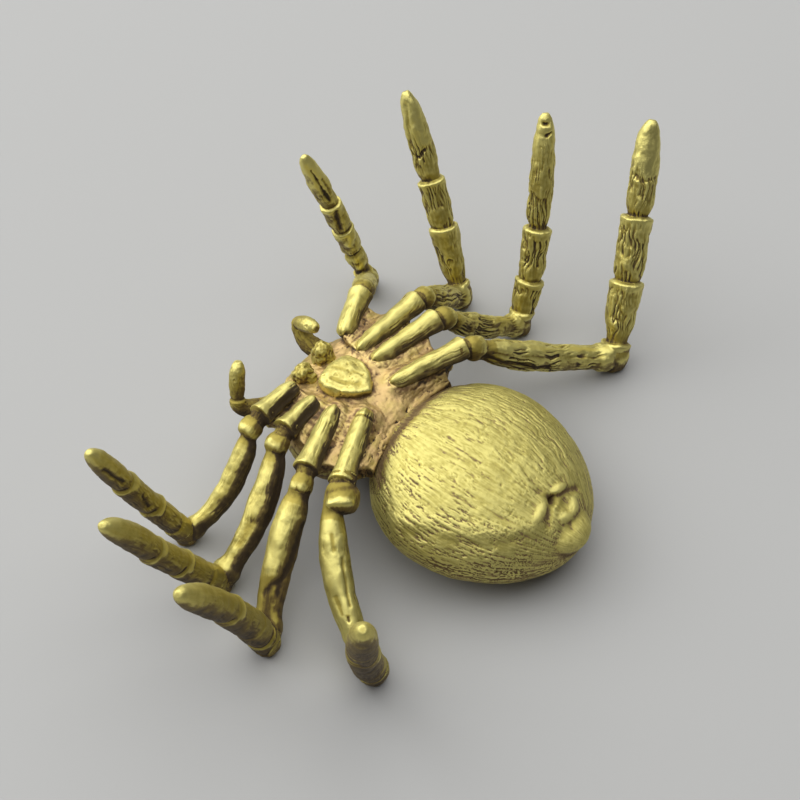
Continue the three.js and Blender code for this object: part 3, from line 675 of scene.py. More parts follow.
# Skin of a casting: smooths the fused form, cuts grooves, ridges, lumps, grain and pits into it, and
# gauges how hollow or proud each spot lies, which the finish reads for its patina and its polish.
# It also marks the underside, the side to the tail and the seams, which the finish darkens as painted shade.
FINE_GAUGE = {"steps": 5, "depth": 0.018}
BROAD_GAUGE = {"steps": 40, "depth": 0.11}
SKIN_SIZES = (
    "Seed", "GrooveRound", "GroovePitch", "GrooveWidth", "GrooveDepth", "RidgeRound", "RidgePitch",
    "RidgeHeight", "LumpScale", "LumpHeight", "GrainScale", "GrainHeight", "PitScale", "PitDepth",
    "SeamReach", "RoofDepth", "Lee", "Sway", "Spread", "FlowRound", "FlowPitch", "Warp",
)
# Scales of the noises that sway its grooves, warp it and gather its grooves in patches, and the levels
# between which patches, pits, rubbing, the painted shade of the underside and the patina and painted shade
# of a sunk seat come in
SWAY_SCALE = 0.45
DRIFT_SCALE = 0.6
PATCH_SCALE = 0.5
PATCH_LEVELS = (0.40, 0.58)
PIT_LEVELS = (0.64, 0.76)
RUB_LEVELS = (0.4, 1.6)
UNDERSIDE_SHADE_LEVELS = (-0.45, 0.2)
UNDERSIDE_SHADE_WEIGHT = -0.75
SUNK_LEVELS = (-0.7, 0.1)
# Shares of the relief that stay where it is rubbed, and of the ridges where there is no bark
RUBBED_RELIEF = 0.25
BARE_RIDGE = 0.4

skin_tree, skin = new_tree(
    "cast_skin", Marks="Object", Neighbour="Object", Smoothing="Int",
    **dict.fromkeys(SKIN_SIZES, "Float"),
)
spot = add_node(skin_tree, "GeometryNodeInputPosition")
normal = add_node(skin_tree, "GeometryNodeInputNormal")
marks = shape_of(skin_tree, skin["Marks"])
neighbour = shape_of(skin_tree, skin["Neighbour"])
seeded_spot = spot.vector("ADD", combined(skin_tree, skin["Seed"], skin["Seed"], skin["Seed"]))


def blurred_spot(steps):
    """Places evened out among their neighbours in some steps."""
    inputs = {"Value": spot, "Iterations": steps}
    return add_node(skin_tree, "GeometryNodeBlurAttribute", inputs, data_type="FLOAT_VECTOR")


def marked(name, kind="FLOAT"):
    """A mark of the form, read at the nearest place on it."""
    inputs = {"Mesh": marks, "Value": named(skin_tree, name, kind)}
    return add_node(skin_tree, "GeometryNodeSampleNearestSurface", inputs, data_type=kind)


def flow(around, pitch):
    """Places drawn out along the casting, swaying a little from side to side."""
    turn = marked("round", "FLOAT_VECTOR")
    sway = (noise(seeded_spot, SWAY_SCALE, 1.0) - 0.5) * skin["Sway"] + skin["Seed"]
    return combined(skin_tree, turn.part("X") * around + sway, turn.part("Y") * around + sway,
                    marked("along") * pitch)


def fibre(around, pitch, detail):
    """Noise drawn out along the casting, from -0.5 to 0.5."""
    return noise(flow(around, pitch), 1.0, detail, 0.55) - 0.5


drift = add_node(
    skin_tree, "ShaderNodeTexNoise", {"Vector": seeded_spot, "Scale": DRIFT_SCALE, "Detail": 1.0}, "Color")
warp = drift.vector("SUBTRACT", (0.5, 0.5, 0.5)).scaled(skin["Warp"])
smoothed = moved(skin["Geometry"], Position=blurred_spot(skin["Smoothing"]), Offset=warp)
bark = marked("bark")
patches = (noise(seeded_spot, PATCH_SCALE, 1.0) + skin["Spread"]).ramp(*PATCH_LEVELS)
groove = fibre(skin["GrooveRound"], skin["GroovePitch"], 2.0).math("ABSOLUTE").fall(0.0, skin["GrooveWidth"])
unrubbed = named(skin_tree, "rub").fall(*RUB_LEVELS)
groove = groove * bark * patches * unrubbed
rough = marked("calm").rest() * (unrubbed * (1 - RUBBED_RELIEF) + RUBBED_RELIEF)
ridge = fibre(skin["RidgeRound"], skin["RidgePitch"], 2.5) * skin["RidgeHeight"]
ridge = ridge * (bark * (1 - BARE_RIDGE) + BARE_RIDGE)
lump = (noise(seeded_spot, skin["LumpScale"], 2.0) - 0.5) * skin["LumpHeight"]
grain = (noise(seeded_spot, skin["GrainScale"], 3.0) - 0.5) * skin["GrainHeight"]
pit = noise(seeded_spot, skin["PitScale"], 1.0).ramp(*PIT_LEVELS) * skin["PitDepth"]
turned = marked("round", "FLOAT_VECTOR")
roof = (turned.part("X") * turned.part("Y")).math("ABSOLUTE") * marked("seat") * skin["RoofDepth"]
lift = (ridge + lump + grain - pit) * rough - roof - groove * skin["GrooveDepth"]
relief = moved(smoothed, Offset=normal.scaled(lift))
for gauge_name, gauge in (("fine", FINE_GAUGE), ("broad", BROAD_GAUGE)):
    hollow = blurred_spot(gauge["steps"]).vector("SUBTRACT", spot).vector("DOT_PRODUCT", normal, "Value")
    relief = stored(relief, gauge_name, hollow * (1 / gauge["depth"]))
# Painted shade: sides facing down, and sides to the tail by the tail shade, are darkened in the colour
tailward = normal.part("Y") * skin["Lee"] * marked("shank").rest()
painted_underside = normal.part("Z") * UNDERSIDE_SHADE_WEIGHT + tailward + marked("shade")
painted_underside = painted_underside.ramp(*UNDERSIDE_SHADE_LEVELS)
# A sunk seat and the spots near neighbouring parts get patina and painted shade; dusk deepens the painted
# shade below
sunk = (spot.part("Z") * -1.0 + tailward).ramp(*SUNK_LEVELS) * marked("seat")
distance = add_node(skin_tree, "GeometryNodeProximity", {"Geometry": neighbour}, "Distance")
beside = add_node(skin_tree, "GeometryNodeProximity", {"Geometry": neighbour}, "Is Valid")
touching = distance.fall(0.0, skin["SeamReach"]) * beside
dusk = painted_underside * marked("dusk")
relief = stored(relief, "seam", sunk.math("MAXIMUM", touching).math("MAXIMUM", dusk))
relief = stored(relief, "under", painted_underside)
relief = stored(relief, "worn", marked("worn") + named(skin_tree, "rub"))
relief = stored(relief, "cut", groove)
relief = stored(relief, "flow", flow(skin["FlowRound"], skin["FlowPitch"]), "FLOAT_VECTOR")
relief = add_node(skin_tree, "GeometryNodeSetShadeSmooth", {"Geometry": relief})
close_tree(skin_tree, relief, skin["Finish"])


def blend(share, first, second):
    """A mix of two colours, each a wire or a value."""
    node = share.tree.nodes.new("ShaderNodeMix")
    node.data_type = "RGBA"
    share.tree.links.new(share.socket, node.inputs[0])
    for index, value in ((6, first), (7, second)):
        if isinstance(value, Wire):
            share.tree.links.new(value.socket, node.inputs[index])
        else:
            node.inputs[index].default_value = value
    return Wire(node.outputs[2])


def aged_brass(name, bright, middle, patina_and_shade, dark, roughness=CAST_ROUGHNESS, streaking=2.0, blush=None):
    """Cast brass: worn bright on what stands proud, olive between, brown to umber in what lies hollow and as
    painted shade.
    A blush is a tone and the two levels between which it comes in."""
    finish = bpy.data.materials.new(name)
    finish.use_nodes = True
    tree = finish.node_tree
    shader = tree.nodes["Principled BSDF"]
    fine, broad, worn, cut, seam, under = (
        add_node(tree, "ShaderNodeAttribute", (), "Fac", attribute_name=label)
        for label in ("fine", "broad", "worn", "cut", "seam", "under")
    )
    place = add_node(tree, "ShaderNodeTexCoord", (), "Object")
    mottle = noise(place, MOTTLE_SCALE, 4.0, 0.55) - 0.5
    speck = noise(place, SPECK_SCALE, 3.0, 0.6) - 0.5
    lines = add_node(tree, "ShaderNodeAttribute", (), "Vector", attribute_name="flow")
    streak = (noise(lines, 1.0, 3.0, 0.6) - 0.5) * streaking
    proud = fine * -0.4 + broad * -0.25 + worn * 0.7 + mottle * 0.8 - streak * 0.7 - 0.05
    proud = proud.ramp(*PROUD_LEVELS)
    # The seams and the underside bring painted shade into the stain and the deep patina
    hidden_and_shaded = seam + under + cut * 0.5 - worn * 0.15
    stain_and_shade = fine * 0.3 + broad * 0.3 + hidden_and_shaded + mottle * 1.3 + streak + speck * 0.2
    stain_and_shade = stain_and_shade.ramp(*STAIN_AND_SHADE_LEVELS)
    deep = fine * 0.35 + broad * 0.5 + hidden_and_shaded + mottle * 0.5 + streak * 0.5
    deep = deep.ramp(*DEEP_LEVELS)
    tone = blend(proud, middle, bright)
    if blush is not None:
        blush_tone, low, high = blush
        reddened = (place.part("Z") + mottle * (2 * MM)).ramp(low, high) * (mottle * 2.0 + 0.8)
        tone = blend(reddened, tone, blush_tone)
    tone = blend(stain_and_shade * 0.85, tone, patina_and_shade)
    tone = blend(deep, tone, dark)
    tree.links.new(tone.socket, shader.inputs["Base Color"])
    dull = stain_and_shade * 0.3 + deep * 0.5
    tree.links.new(dull.rest().socket, shader.inputs["Metallic"])
    rough = dull * 0.25 + speck * 0.15 + worn * -0.05 + roughness
    tree.links.new(rough.socket, shader.inputs["Roughness"])
    grain = noise(place, GRAIN_SCALE, 4.0, 0.7) - streak * 0.4
    bump = add_node(tree, "ShaderNodeBump", {"Strength": 0.5, "Distance": GRAIN_HEIGHT, "Height": grain})
    tree.links.new(bump.socket, shader.inputs["Normal"])
    return finish


def fused(name, form, voxel, soften):
    """One closed skin round a form of overlapping closed shapes, its junctions softened in some passes."""
    thing = holder(name + "_form", form)
    fuse = thing.modifiers.new("fuse", "REMESH")
    fuse.mode = "VOXEL"
    fuse.voxel_size = voxel
    if soften:
        ease = thing.modifiers.new("ease", "SMOOTH")
        ease.iterations = soften
    return baked(thing)


def chisel(mesh, strokes):
    """Raises or cuts a mesh along lines on it and rubs it there, by a half width, a height and a wear."""
    spots = mesh_spots(mesh)
    count = len(spots)
    normals = np.empty(count * 3)
    mesh.vertex_normals.foreach_get("vector", normals)
    lift = np.zeros(count)
    rub = np.zeros(count)
    for line, width, height, wear in strokes:
        nearest = np.full(count, np.inf)
        for start, end in zip(line, line[1:]):
            step = end - start
            share = np.clip((spots - start) @ step / max(step @ step, 1e-9), 0, 1)
            nearest = np.minimum(nearest, np.linalg.norm(spots - start - share[:, None] * step, axis=1))
        share = np.exp(-(nearest / width) ** 2)
        lift += height * share
        rub += wear * share
    mesh.vertices.foreach_set("co", (spots + normals.reshape(-1, 3) * lift[:, None]).ravel())
    label_points(mesh, "rub", rub)
    mesh.update()


def casting(name, form, voxel, finish, strokes=(), neighbour=None, soften=0, **relief_sizes):
    """Fuses a form into one skin, cuts its marks and relief and seats it in the figurine's frame."""
    guide = holder(name + "_marks", form)
    beside = holder(name + "_beside", neighbour or bpy.data.meshes.new("nothing"))
    blank = fused(name, form.copy(), voxel, soften)
    chisel(blank, strokes)
    blank = holder(name + "_blank", blank)
    grow(blank, skin_tree, Marks=guide, Neighbour=beside, Finish=finish, **relief_sizes)
    mesh = baked(blank)
    bpy.data.objects.remove(guide)
    bpy.data.objects.remove(beside)
    mesh.transform(Matrix.Translation(BELLY) @ Matrix.Scale(MM, 4))
    return holder(name + "_cast", mesh)


def limb_form(name, runs, finish):
    """The swept tubes of one limb, from its runs of stations."""
    starts = np.cumsum([0] + [len(run["spot"]) for run in runs])
    edges = [(k, k + 1) for first, end in zip(starts, starts[1:]) for k in range(first, end - 1)]
    line = bpy.data.meshes.new(name + "_line")
    line.from_pydata(np.vstack([run["spot"] for run in runs]).tolist(), edges, [])
    for label in ("girth", "bark", "worn", "along", *RUN_TONES):
        label_points(line, label, np.concatenate([run[label] for run in runs]))
    return baked(grow(holder(name + "_line", line), sweep_tree, Sides=LIMB_SIDES, Finish=finish))


leg_brass = aged_brass("leg_brass", POLISHED, OLIVE, BROWN, UMBER, streaking=0.6)
coxa_runs = []
for order, stance in enumerate(LEG_STANCES):
    runs = leg_runs(stance)
    coxa_runs.append(runs["coxa"])
    nicks = LEG_NICKS[stance["name"]]
    if stance["jointing"] < SHALLOW_NECK:
        nicks = nicks + HEEL_NICKS
    if 0 < stance["jointing"] < SHALLOW_NECK:
        nicks = nicks + ANKLE_NICKS
    strokes = [
        (surface_line(runs[segment], start, end), width, height, wear)
        for segment, start, end, width, height, wear in nicks
    ]
    leg_form = limb_form(stance["name"], list(runs.values()), leg_brass)
    leg = casting(
        stance["name"], leg_form, LIMB_VOXEL, leg_brass, strokes,
        soften=round(PLAIN_SOFTENING - (PLAIN_SOFTENING - JOINTED_SOFTENING) * stance["jointing"]),
        Seed=LEG_SEED * (order + 1), Lee=stance["tail_shade"], **LEG_RELIEF,
    )
    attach(leg, "root")
    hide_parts(stance["name"])

# Palps: a bent solid finger on each side of the jaws, cast like the legs and seated in the shell's front.
# A ring sets off the end segment. The left one folds back over the jaws, the right one stands up.
PALP_GIRTH = 0.72
PALP_REACH = 6.0
PALP_VOXEL = 0.06
# The base's wear, far below 0, darkens it as painted shadow
PALP_PROFILE = (
    (0.00, 1.40, 0.2, -5.0), (0.25, 1.35, 0.4, -5.0), (0.48, 1.10, 0.4, -3.0), (0.54, 1.10, 0.2, 0.4),
    (0.57, 1.06, 0.0, -0.5), (0.59, 0.78, 0.0, -3.0), (0.62, 0.92, 0.1, -1.0), (0.75, 1.06, 0.2, 0.2),
    (0.90, 1.02, 0.1, 0.8), (0.96, 0.82, 0.0, 0.9), (1.00, 0.50, 0.0, 0.9),
)
# Its side to the tail is darkened as painted shade.
PALP_RELIEF = {
    "Smoothing": 2, "GrooveRound": 1.2, "GroovePitch": 0.5, "GrooveWidth": 0.12, "GrooveDepth": 0.1,
    "RidgeRound": 1.2, "RidgePitch": 0.4, "RidgeHeight": 0.12, "LumpScale": 1.0, "LumpHeight": 0.2,
    "GrainScale": 3.3, "GrainHeight": 0.05, "PitScale": 2.0, "PitDepth": 0.06, "Lee": 0.42,
    "FlowRound": 2.4, "FlowPitch": 0.7,
}
THREAD_POINTS = 40
PALPS = (
    {"name": "pedipalp_left", "side": -1, "seed": 109.2, "out": 0.21, "ahead": 0.345, "below": 3.1,
     "route": (
         (0, 0, 0), (-0.02, -0.4, 0.04), (0.06, -0.64, 0.26), (-0.04, -0.42, 0.51), (-0.1, -0.17, 0.61))},
    {"name": "pedipalp_right", "side": 1, "seed": 118.3, "out": 0.22, "ahead": 0.364, "below": 3.2,
     "route": (
         (0, 0, 0), (0.3, -0.27, -0.02), (0.5, -0.45, 0.13), (0.42, -0.55, 0.43), (0.23, -0.65, 0.78))},
)


def threaded(points):
    """Close-set points of a smooth line through a few given ones."""
    points = np.vstack((2 * points[0] - points[1], points, 2 * points[-1] - points[-2]))
    share = np.linspace(0, 1, THREAD_POINTS)[:, None]
    rise = share ** 2 * (3 - 2 * share)
    pieces = []
    for before, start, end, after in zip(points, points[1:], points[2:], points[3:]):
        leave = (end - before) / 2 * share * (1 - share) ** 2
        arrive = (after - start) / 2 * share ** 2 * (1 - share)
        pieces.append(start + (end - start) * rise + leave - arrive)
    return np.vstack(pieces)


for palp in PALPS:
    palp_seat = np.array((palp["out"] * SHELL_WIDTH, -palp["ahead"] * SHELL_LENGTH, -palp["below"]))
    route = (np.array(palp["route"]) * PALP_REACH + palp_seat) * (palp["side"], 1, 1)
    palp_run = limb_run(threaded(route), PALP_PROFILE, PALP_GIRTH)
    palp_form = limb_form(palp["name"], [palp_run], leg_brass)
    finger = casting(palp["name"], palp_form, PALP_VOXEL, leg_brass, Seed=palp["seed"], **PALP_RELIEF)
    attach(finger, "root")
    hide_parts(palp["name"])

# Chelicerae: a pair of small rounded jaws, each a rough solid casting brazed into the shell's front.
# They stand side by side just ahead of the sternum.
JAW = {"Length": 2.3, "Width": 2.1, "Rise": 1.4, "Depth": 1.4, "Taper": -0.1, "Worn": 0.1}
JAW_SPREAD = 1.45
JAW_LEVEL = -0.8
JAW_VOXEL = 0.06
JAW_SOFTENING = 4
# Its side to the tail is darkened as painted shade.
JAW_RELIEF = {
    "Smoothing": 3, "LumpScale": 0.9, "LumpHeight": 0.9, "GrainScale": 1.8, "GrainHeight": 0.12,
    "PitScale": 1.8, "PitDepth": 0.06, "Lee": 0.3,
}
BRAZE_GAP = 0.3

# Egg: a ball of even facets drawn out along Y, with its own rise above and depth below a middle level.
# Taper makes one end fuller than the other and flatness below 1 flattens its upper side.
PLAIN_EGG = {"Steps": 40, "Taper": 0.0, "Flatness": 1.0, "Bark": 0.0, "Worn": 0.3}
EGG_SIZES = ("Length", "Width", "Rise", "Depth", "Taper", "Flatness", "Bark", "Worn")
egg_tree, egg = new_tree("egg_form", Steps="Int", **dict.fromkeys(EGG_SIZES, "Float"))
block = add_node(egg_tree, "GeometryNodeMeshCube", {
    "Size": (2, 2, 2), "Vertices X": egg["Steps"], "Vertices Y": egg["Steps"], "Vertices Z": egg["Steps"],
}, "Mesh")
facing = add_node(egg_tree, "GeometryNodeInputPosition").vector("NORMALIZE", (0, 0, 0))
across = facing.part("X")
back = facing.part("Y")
up = facing.part("Z")
ring_reach = (across * across + up * up).math("SQRT").math("MAXIMUM", 0.001)
fullness = back * egg["Taper"] + 1.0
crest = up.math("MAXIMUM", 0.0).math("DIVIDE", ring_reach).math("POWER", egg["Flatness"])
height = crest * ring_reach * egg["Rise"] + up.math("MINIMUM", 0.0) * egg["Depth"]
shaped = combined(
    egg_tree, across * egg["Width"] * 0.5 * fullness, back * egg["Length"] * 0.5, height * fullness)
turned = combined(egg_tree, across.math("DIVIDE", ring_reach), up.math("DIVIDE", ring_reach))
eggshell = stored(block, "round", turned, "FLOAT_VECTOR")
eggshell = stored(eggshell, "along", back * egg["Length"] * 0.5)
eggshell = stored(eggshell, "bark", egg["Bark"])
eggshell = stored(eggshell, "worn", egg["Worn"])
close_tree(egg_tree, moved(eggshell, Position=shaped), egg["Finish"])


def egg_form(name, finish, place=(0, 0, 0), splay=0, **sizes):
    """One egg, turned about Z by degrees and set in its place."""
    blank = holder(name, bpy.data.meshes.new(name))
    mesh = baked(grow(blank, egg_tree, Finish=finish, **{**PLAIN_EGG, **sizes}))
    mesh.transform(Matrix.Translation(place) @ Matrix.Rotation(math.radians(splay), 4, "Z"))
    return mesh


belly_brass = aged_brass("belly_brass", POLISHED, OLIVE, BROWN, UMBER, streaking=0.0)
jaw_centre = STERNUM_FRONT - BRAZE_GAP - JAW["Length"] / 2
for jaw_name, side, seed in (("chelicera_left", -1, 26.0), ("chelicera_right", 1, 36.0)):
    jaw = egg_form(jaw_name + "_egg", belly_brass, (side * JAW_SPREAD, jaw_centre, JAW_LEVEL), **JAW)
    chelicera = casting(
        jaw_name, jaw, JAW_VOXEL, belly_brass, soften=JAW_SOFTENING, Seed=seed, **JAW_RELIEF)
    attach(chelicera, "root")
    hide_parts(jaw_name)

# Sternum: a solid cast shield with a hammered face, brazed into the middle of the belly, point to the tail.
# Its edge stands clear of the shell all round, and round it the shell is darkened as painted shade.
STERNUM_LENGTH = 5.2
STERNUM_WIDTH = 4.6
STERNUM_DEPTH = 1.0
STERNUM_SHOULDER = 0.35 * STERNUM_LENGTH
STERNUM_POINTING = 0.3 * STERNUM_LENGTH
STERNUM_MIDDLE = 0.45 * STERNUM_LENGTH
STERNUM_WEAR = 0.9
STERNUM_VOXEL = 0.06
STERNUM_SOFTENING = 2
# Its side to the tail is darkened as painted shade.
STERNUM_RELIEF = {
    "Smoothing": 2, "Seed": 47.0, "LumpScale": 0.5, "LumpHeight": 0.6, "GrainScale": 1.8,
    "GrainHeight": 0.12, "PitScale": 1.6, "PitDepth": 0.05, "Lee": 0.3,
}
EDGE_STEP = 5
# Layers from its foot to its crown: share of the outline and level
STERNUM_LAYERS = (
    (0.97, -STERNUM_DEPTH), (1.0, -0.6), (1.0, 0.1), (0.97, 0.3), (0.9, 0.5), (0.7, 0.76), (0.4, 0.88),
    (0.1, STERNUM_CROWN),
)
# Its face has a raised edge along the right side and scores to the tail: half width, height and wear
STERNUM_STROKES = (
    (((1.9, -0.7, 0.45), (1.8, 0.6, 0.45), (1.0, 1.9, 0.45), (0.2, 2.6, 0.4)), 0.25, 0.20, 0.6),
    (((1.2, -0.9, 0.7), (1.0, 0.4, 0.75), (0.4, 1.6, 0.7)), 0.22, -0.14, -0.8),
    (((0.1, -1.6, 0.8), (-0.2, 0.2, 0.85)), 0.25, -0.08, -0.4),
    (((-0.5, 0.4, 0.8), (-0.6, 1.2, 0.75)), 0.2, -0.08, -0.4),
    (((-1.9, 0.3, 0.4), (-0.9, 1.6, 0.5)), 0.3, 0.14, 0.4),
)

half_shield = STERNUM_WIDTH / 2
shield_point = STERNUM_FRONT + STERNUM_LENGTH
front_bow = np.array((
    (0, STERNUM_FRONT),
    (half_shield, STERNUM_FRONT),
    (half_shield, STERNUM_FRONT + STERNUM_SHOULDER),
))
rear_bow = np.array((
    (half_shield, STERNUM_FRONT + STERNUM_SHOULDER),
    (half_shield, shield_point - STERNUM_POINTING),
    (0, shield_point),
))
right_edge = np.vstack((bowed(*front_bow)[::EDGE_STEP], bowed(*rear_bow)[EDGE_STEP::EDGE_STEP]))
outline = np.vstack((right_edge, (right_edge * (-1, 1))[-2:0:-1]))
shield_centre = np.array((0, STERNUM_FRONT + STERNUM_MIDDLE))
corners = len(outline)
shield_points = [
    (x, y, level)
    for scale, level in STERNUM_LAYERS
    for x, y in shield_centre + (outline - shield_centre) * scale
]
shield_faces = [tuple(reversed(range(corners)))]
for lower in range(0, len(shield_points) - corners, corners):
    upper = lower + corners
    for corner in range(corners):
        ahead = (corner + 1) % corners
        shield_faces.append((lower + corner, lower + ahead, upper + ahead, upper + corner))
shield_faces.append(tuple(range(len(shield_points) - corners, len(shield_points))))
shield = bpy.data.meshes.new("shield")
shield.from_pydata(shield_points, [], shield_faces)
label_points(shield, "worn", np.full(len(shield_points), STERNUM_WEAR))
sternum = casting(
    "sternum", shield, STERNUM_VOXEL, belly_brass,
    [(np.array(line), *stroke) for line, *stroke in STERNUM_STROKES],
    soften=STERNUM_SOFTENING, **STERNUM_RELIEF,
)
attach(sternum, "root")
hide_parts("sternum")

# Shell: carapace and belly plate in one solid brass casting, with a copper-red belly. Braze runs up in
# fillets to the coxae, and rough ridges run from them to the rear edge.
SHELL = {
    "Length": SHELL_LENGTH, "Width": SHELL_WIDTH, "Rise": 2.5, "Depth": 6.1, "Taper": 0.12, "Flatness": 0.45,
    "Steps": 110, "Bark": 0.2,
}
SHELL_FRONT = -6.0
SHELL_LEVEL = -2.7
SHELL_VOXEL = 0.1
SHELL_SOFTENING = 8
# Near the coxae and the sternum the shell darkens, patina in the valleys and painted shade beside them.
SHELL_RELIEF = {
    "Smoothing": 3, "Seed": 53.0, "GrooveRound": 5.0, "GroovePitch": 0.2, "GrooveWidth": 0.025,
    "GrooveDepth": 0.08, "Sway": 2.0, "RidgeRound": 7.0, "RidgePitch": 0.2, "RidgeHeight": 0.45,
    "LumpScale": 0.8, "LumpHeight": 0.3, "GrainScale": 2.4, "GrainHeight": 0.08, "PitScale": 2.0,
    "PitDepth": 0.04, "SeamReach": 0.65, "Lee": 0.3, "FlowRound": 16.0, "FlowPitch": 0.5,
}
FILLET_HEIGHT = 0.5
FILLET_REACH = 0.7
FILLET_FACING = (0.1, 0.6)
COPPER = (0.61, 0.435, 0.195, 1)
RUSSET = (0.19, 0.106, 0.050, 1)
COPPER_LOW = 6.8 * MM
COPPER_HIGH = 8.6 * MM

fillet_tree, fillet = new_tree("braze_fillet", Castings="Object", Height="Float", Reach="Float")
seated = shape_of(fillet_tree, fillet["Castings"])
clearance = add_node(fillet_tree, "GeometryNodeProximity", {"Geometry": seated}, "Distance")
climb = clearance.math("DIVIDE", fillet["Reach"]).math("POWER", 2.0) * -1.0
climb = climb.math("EXPONENT") * fillet["Height"]
upward = add_node(fillet_tree, "GeometryNodeInputNormal").part("Z").ramp(*FILLET_FACING)
climb = combined(fillet_tree, 0.0, 0.0, climb * upward)
close_tree(fillet_tree, moved(fillet["Geometry"], Offset=climb), fillet["Finish"])

# Webs: on each side a sheet of the casting runs from coxa to coxa and on to the abdomen's front edge
WEB_TAIL = ((0.6, 6.2, -1.0), (7.2, 7.5, -0.7))
WEB_REACH = 0.87
WEB_SCALLOP = 0.12
WEB_LEVEL = -0.2
WEB_FALL = 0.6
WEB_DEPTH = 1.6
WEB_BARK = 0.5
WEB_WEAR = 0.3
WEB_TAIL_DARKENING = 3
WEB_STEPS = 10
WEB_STATIONS = 30


def web_sheet(name, rows):
    """A closed sheet across rows of inner and outer ends, falling a little to its scalloped outer edge."""
    order = np.linspace(0, len(rows) - 1, WEB_STEPS * (len(rows) - 1) + 1)
    share = np.linspace(0, 1, WEB_STATIONS + 1)
    ends = np.array(rows).reshape(len(rows), 6)
    ends = read_off(order, range(len(rows)), ends)
    reach = WEB_REACH - WEB_SCALLOP * np.abs(np.sin(np.pi * order))
    across = ends[:, None, 3:] - ends[:, None, :3]
    top = ends[:, None, :3] + across * (reach[:, None] * share)[..., None]
    top[..., 2] += WEB_LEVEL - WEB_FALL * share
    grid = np.arange(top.size // 3).reshape(top.shape[:2])
    quads = np.stack((grid[:-1, :-1], grid[1:, :-1], grid[1:, 1:], grid[:-1, 1:]), axis=-1).reshape(-1, 4)
    edge = np.concatenate((grid[:-1, 0], grid[-1, :-1], grid[:0:-1, -1], grid[0, :0:-1]))
    walls = [(a, b, b + grid.size, a + grid.size) for a, b in zip(edge, np.roll(edge, -1))]
    mesh = bpy.data.meshes.new(name)
    mesh.from_pydata(
        np.vstack((top.reshape(-1, 3), top.reshape(-1, 3) - (0, 0, WEB_DEPTH))).tolist(),
        [],
        quads.tolist() + (quads[:, ::-1] + grid.size).tolist() + walls,
    )
    lanes = np.zeros((2, *top.shape))
    lanes[..., 0] = order[:, None] / 2
    mesh.attributes.new("round", "FLOAT_VECTOR", "POINT").data.foreach_set("vector", lanes.ravel())
    # The last stretch, to the abdomen's front edge, gets rougher and darker
    tail_share = np.clip(order - len(rows) + 2, 0, 1)[:, None]
    labels = {
        "along": share * COXA_LENGTH,
        "bark": WEB_BARK + (1 - WEB_BARK) * tail_share,
        "worn": WEB_WEAR - WEB_TAIL_DARKENING * tail_share ** 3,
    }
    for label, values in labels.items():
        label_points(mesh, label, np.broadcast_to(values, (2, *grid.shape)).ravel())
    return mesh


def joined(name, forms, finish):
    """Several forms as one mesh."""
    things = [holder(f"{name}_{index}", form) for index, form in enumerate(forms)]
    tree, wires = new_tree(name)
    join = tree.nodes.new("GeometryNodeJoinGeometry")
    for thing in things:
        tree.links.new(shape_of(tree, thing).socket, join.inputs[0])
    close_tree(tree, Wire(join.outputs[0]), wires["Finish"])
    mesh = baked(grow(holder(name, bpy.data.meshes.new(name)), tree, Finish=finish))
    for thing in things:
        bpy.data.objects.remove(thing)
    return mesh


shell_brass = aged_brass(
    "shell_brass", POLISHED, OLIVE, RUSSET, UMBER,
    roughness=0.54, streaking=0.8, blush=(COPPER, COPPER_LOW, COPPER_HIGH),
)
coxae = limb_form("coxae", coxa_runs, leg_brass)
coxa_guide = holder("coxa_guide", coxae.copy())
shell_middle = (0, SHELL_FRONT + SHELL_LENGTH / 2, SHELL_LEVEL)
shell_forms = [egg_form("shell_egg", shell_brass, shell_middle, **SHELL)]
for web_name, side in (("web_left", -1), ("web_right", 1)):
    web_rows = [
        (run["spot"][0], run["spot"][-1])
        for stance, run in zip(LEG_STANCES, coxa_runs)
        if stance["side"] == side
    ]
    web_rows.append(np.array(WEB_TAIL) * (side, 1, 1))
    shell_forms.append(web_sheet(web_name, web_rows))
shell_blank = joined("shell_blank", shell_forms, shell_brass)
shell_form = baked(grow(
    holder("shell_form", shell_blank.copy()), fillet_tree,
    Castings=coxa_guide, Height=FILLET_HEIGHT, Reach=FILLET_REACH, Finish=shell_brass,
))
bpy.data.objects.remove(coxa_guide)
seated_pieces = joined("seated_pieces", [coxae, shield], leg_brass)
shell = casting(
    "shell", shell_form, SHELL_VOXEL, shell_brass,
    neighbour=seated_pieces, soften=SHELL_SOFTENING, **SHELL_RELIEF,
)
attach(shell, "root")
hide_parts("shell")

# Abdomen: a solid cast egg, satin and finely striated from front to tail, with its pedicel in the shell.
# Two pairs of spinneret lobes over a tail tubercle are cast on; it dips a little to the tail.
ABDOMEN = {
    "Length": 20.6, "Width": 20.2, "Rise": 5.1, "Depth": 4.9, "Taper": -0.12, "Flatness": 0.9,
    "Steps": 110, "Worn": 0.7,
}
ABDOMEN_SEAT = 2.3
ABDOMEN_TILT = -8
ABDOMEN_VOXEL = 0.118
ABDOMEN_SOFTENING = 14
# Near the shell it is darkened as painted shade, and its side to the tail too
ABDOMEN_RELIEF = {
    "Smoothing": 1, "Seed": 61.0, "GrooveRound": 18.0, "GroovePitch": 0.2, "GrooveWidth": 0.06,
    "GrooveDepth": 0.09, "RidgeRound": 16.0, "RidgePitch": 0.2, "RidgeHeight": 0.16, "LumpScale": 0.4,
    "LumpHeight": 0.22, "GrainScale": 1.8, "GrainHeight": 0.06, "PitScale": 1.6, "PitDepth": 0.04,
    "SeamReach": 2.8, "Lee": 0.45, "Sway": 2.0, "Spread": 0.06, "FlowRound": 30.0, "FlowPitch": 0.4,
}
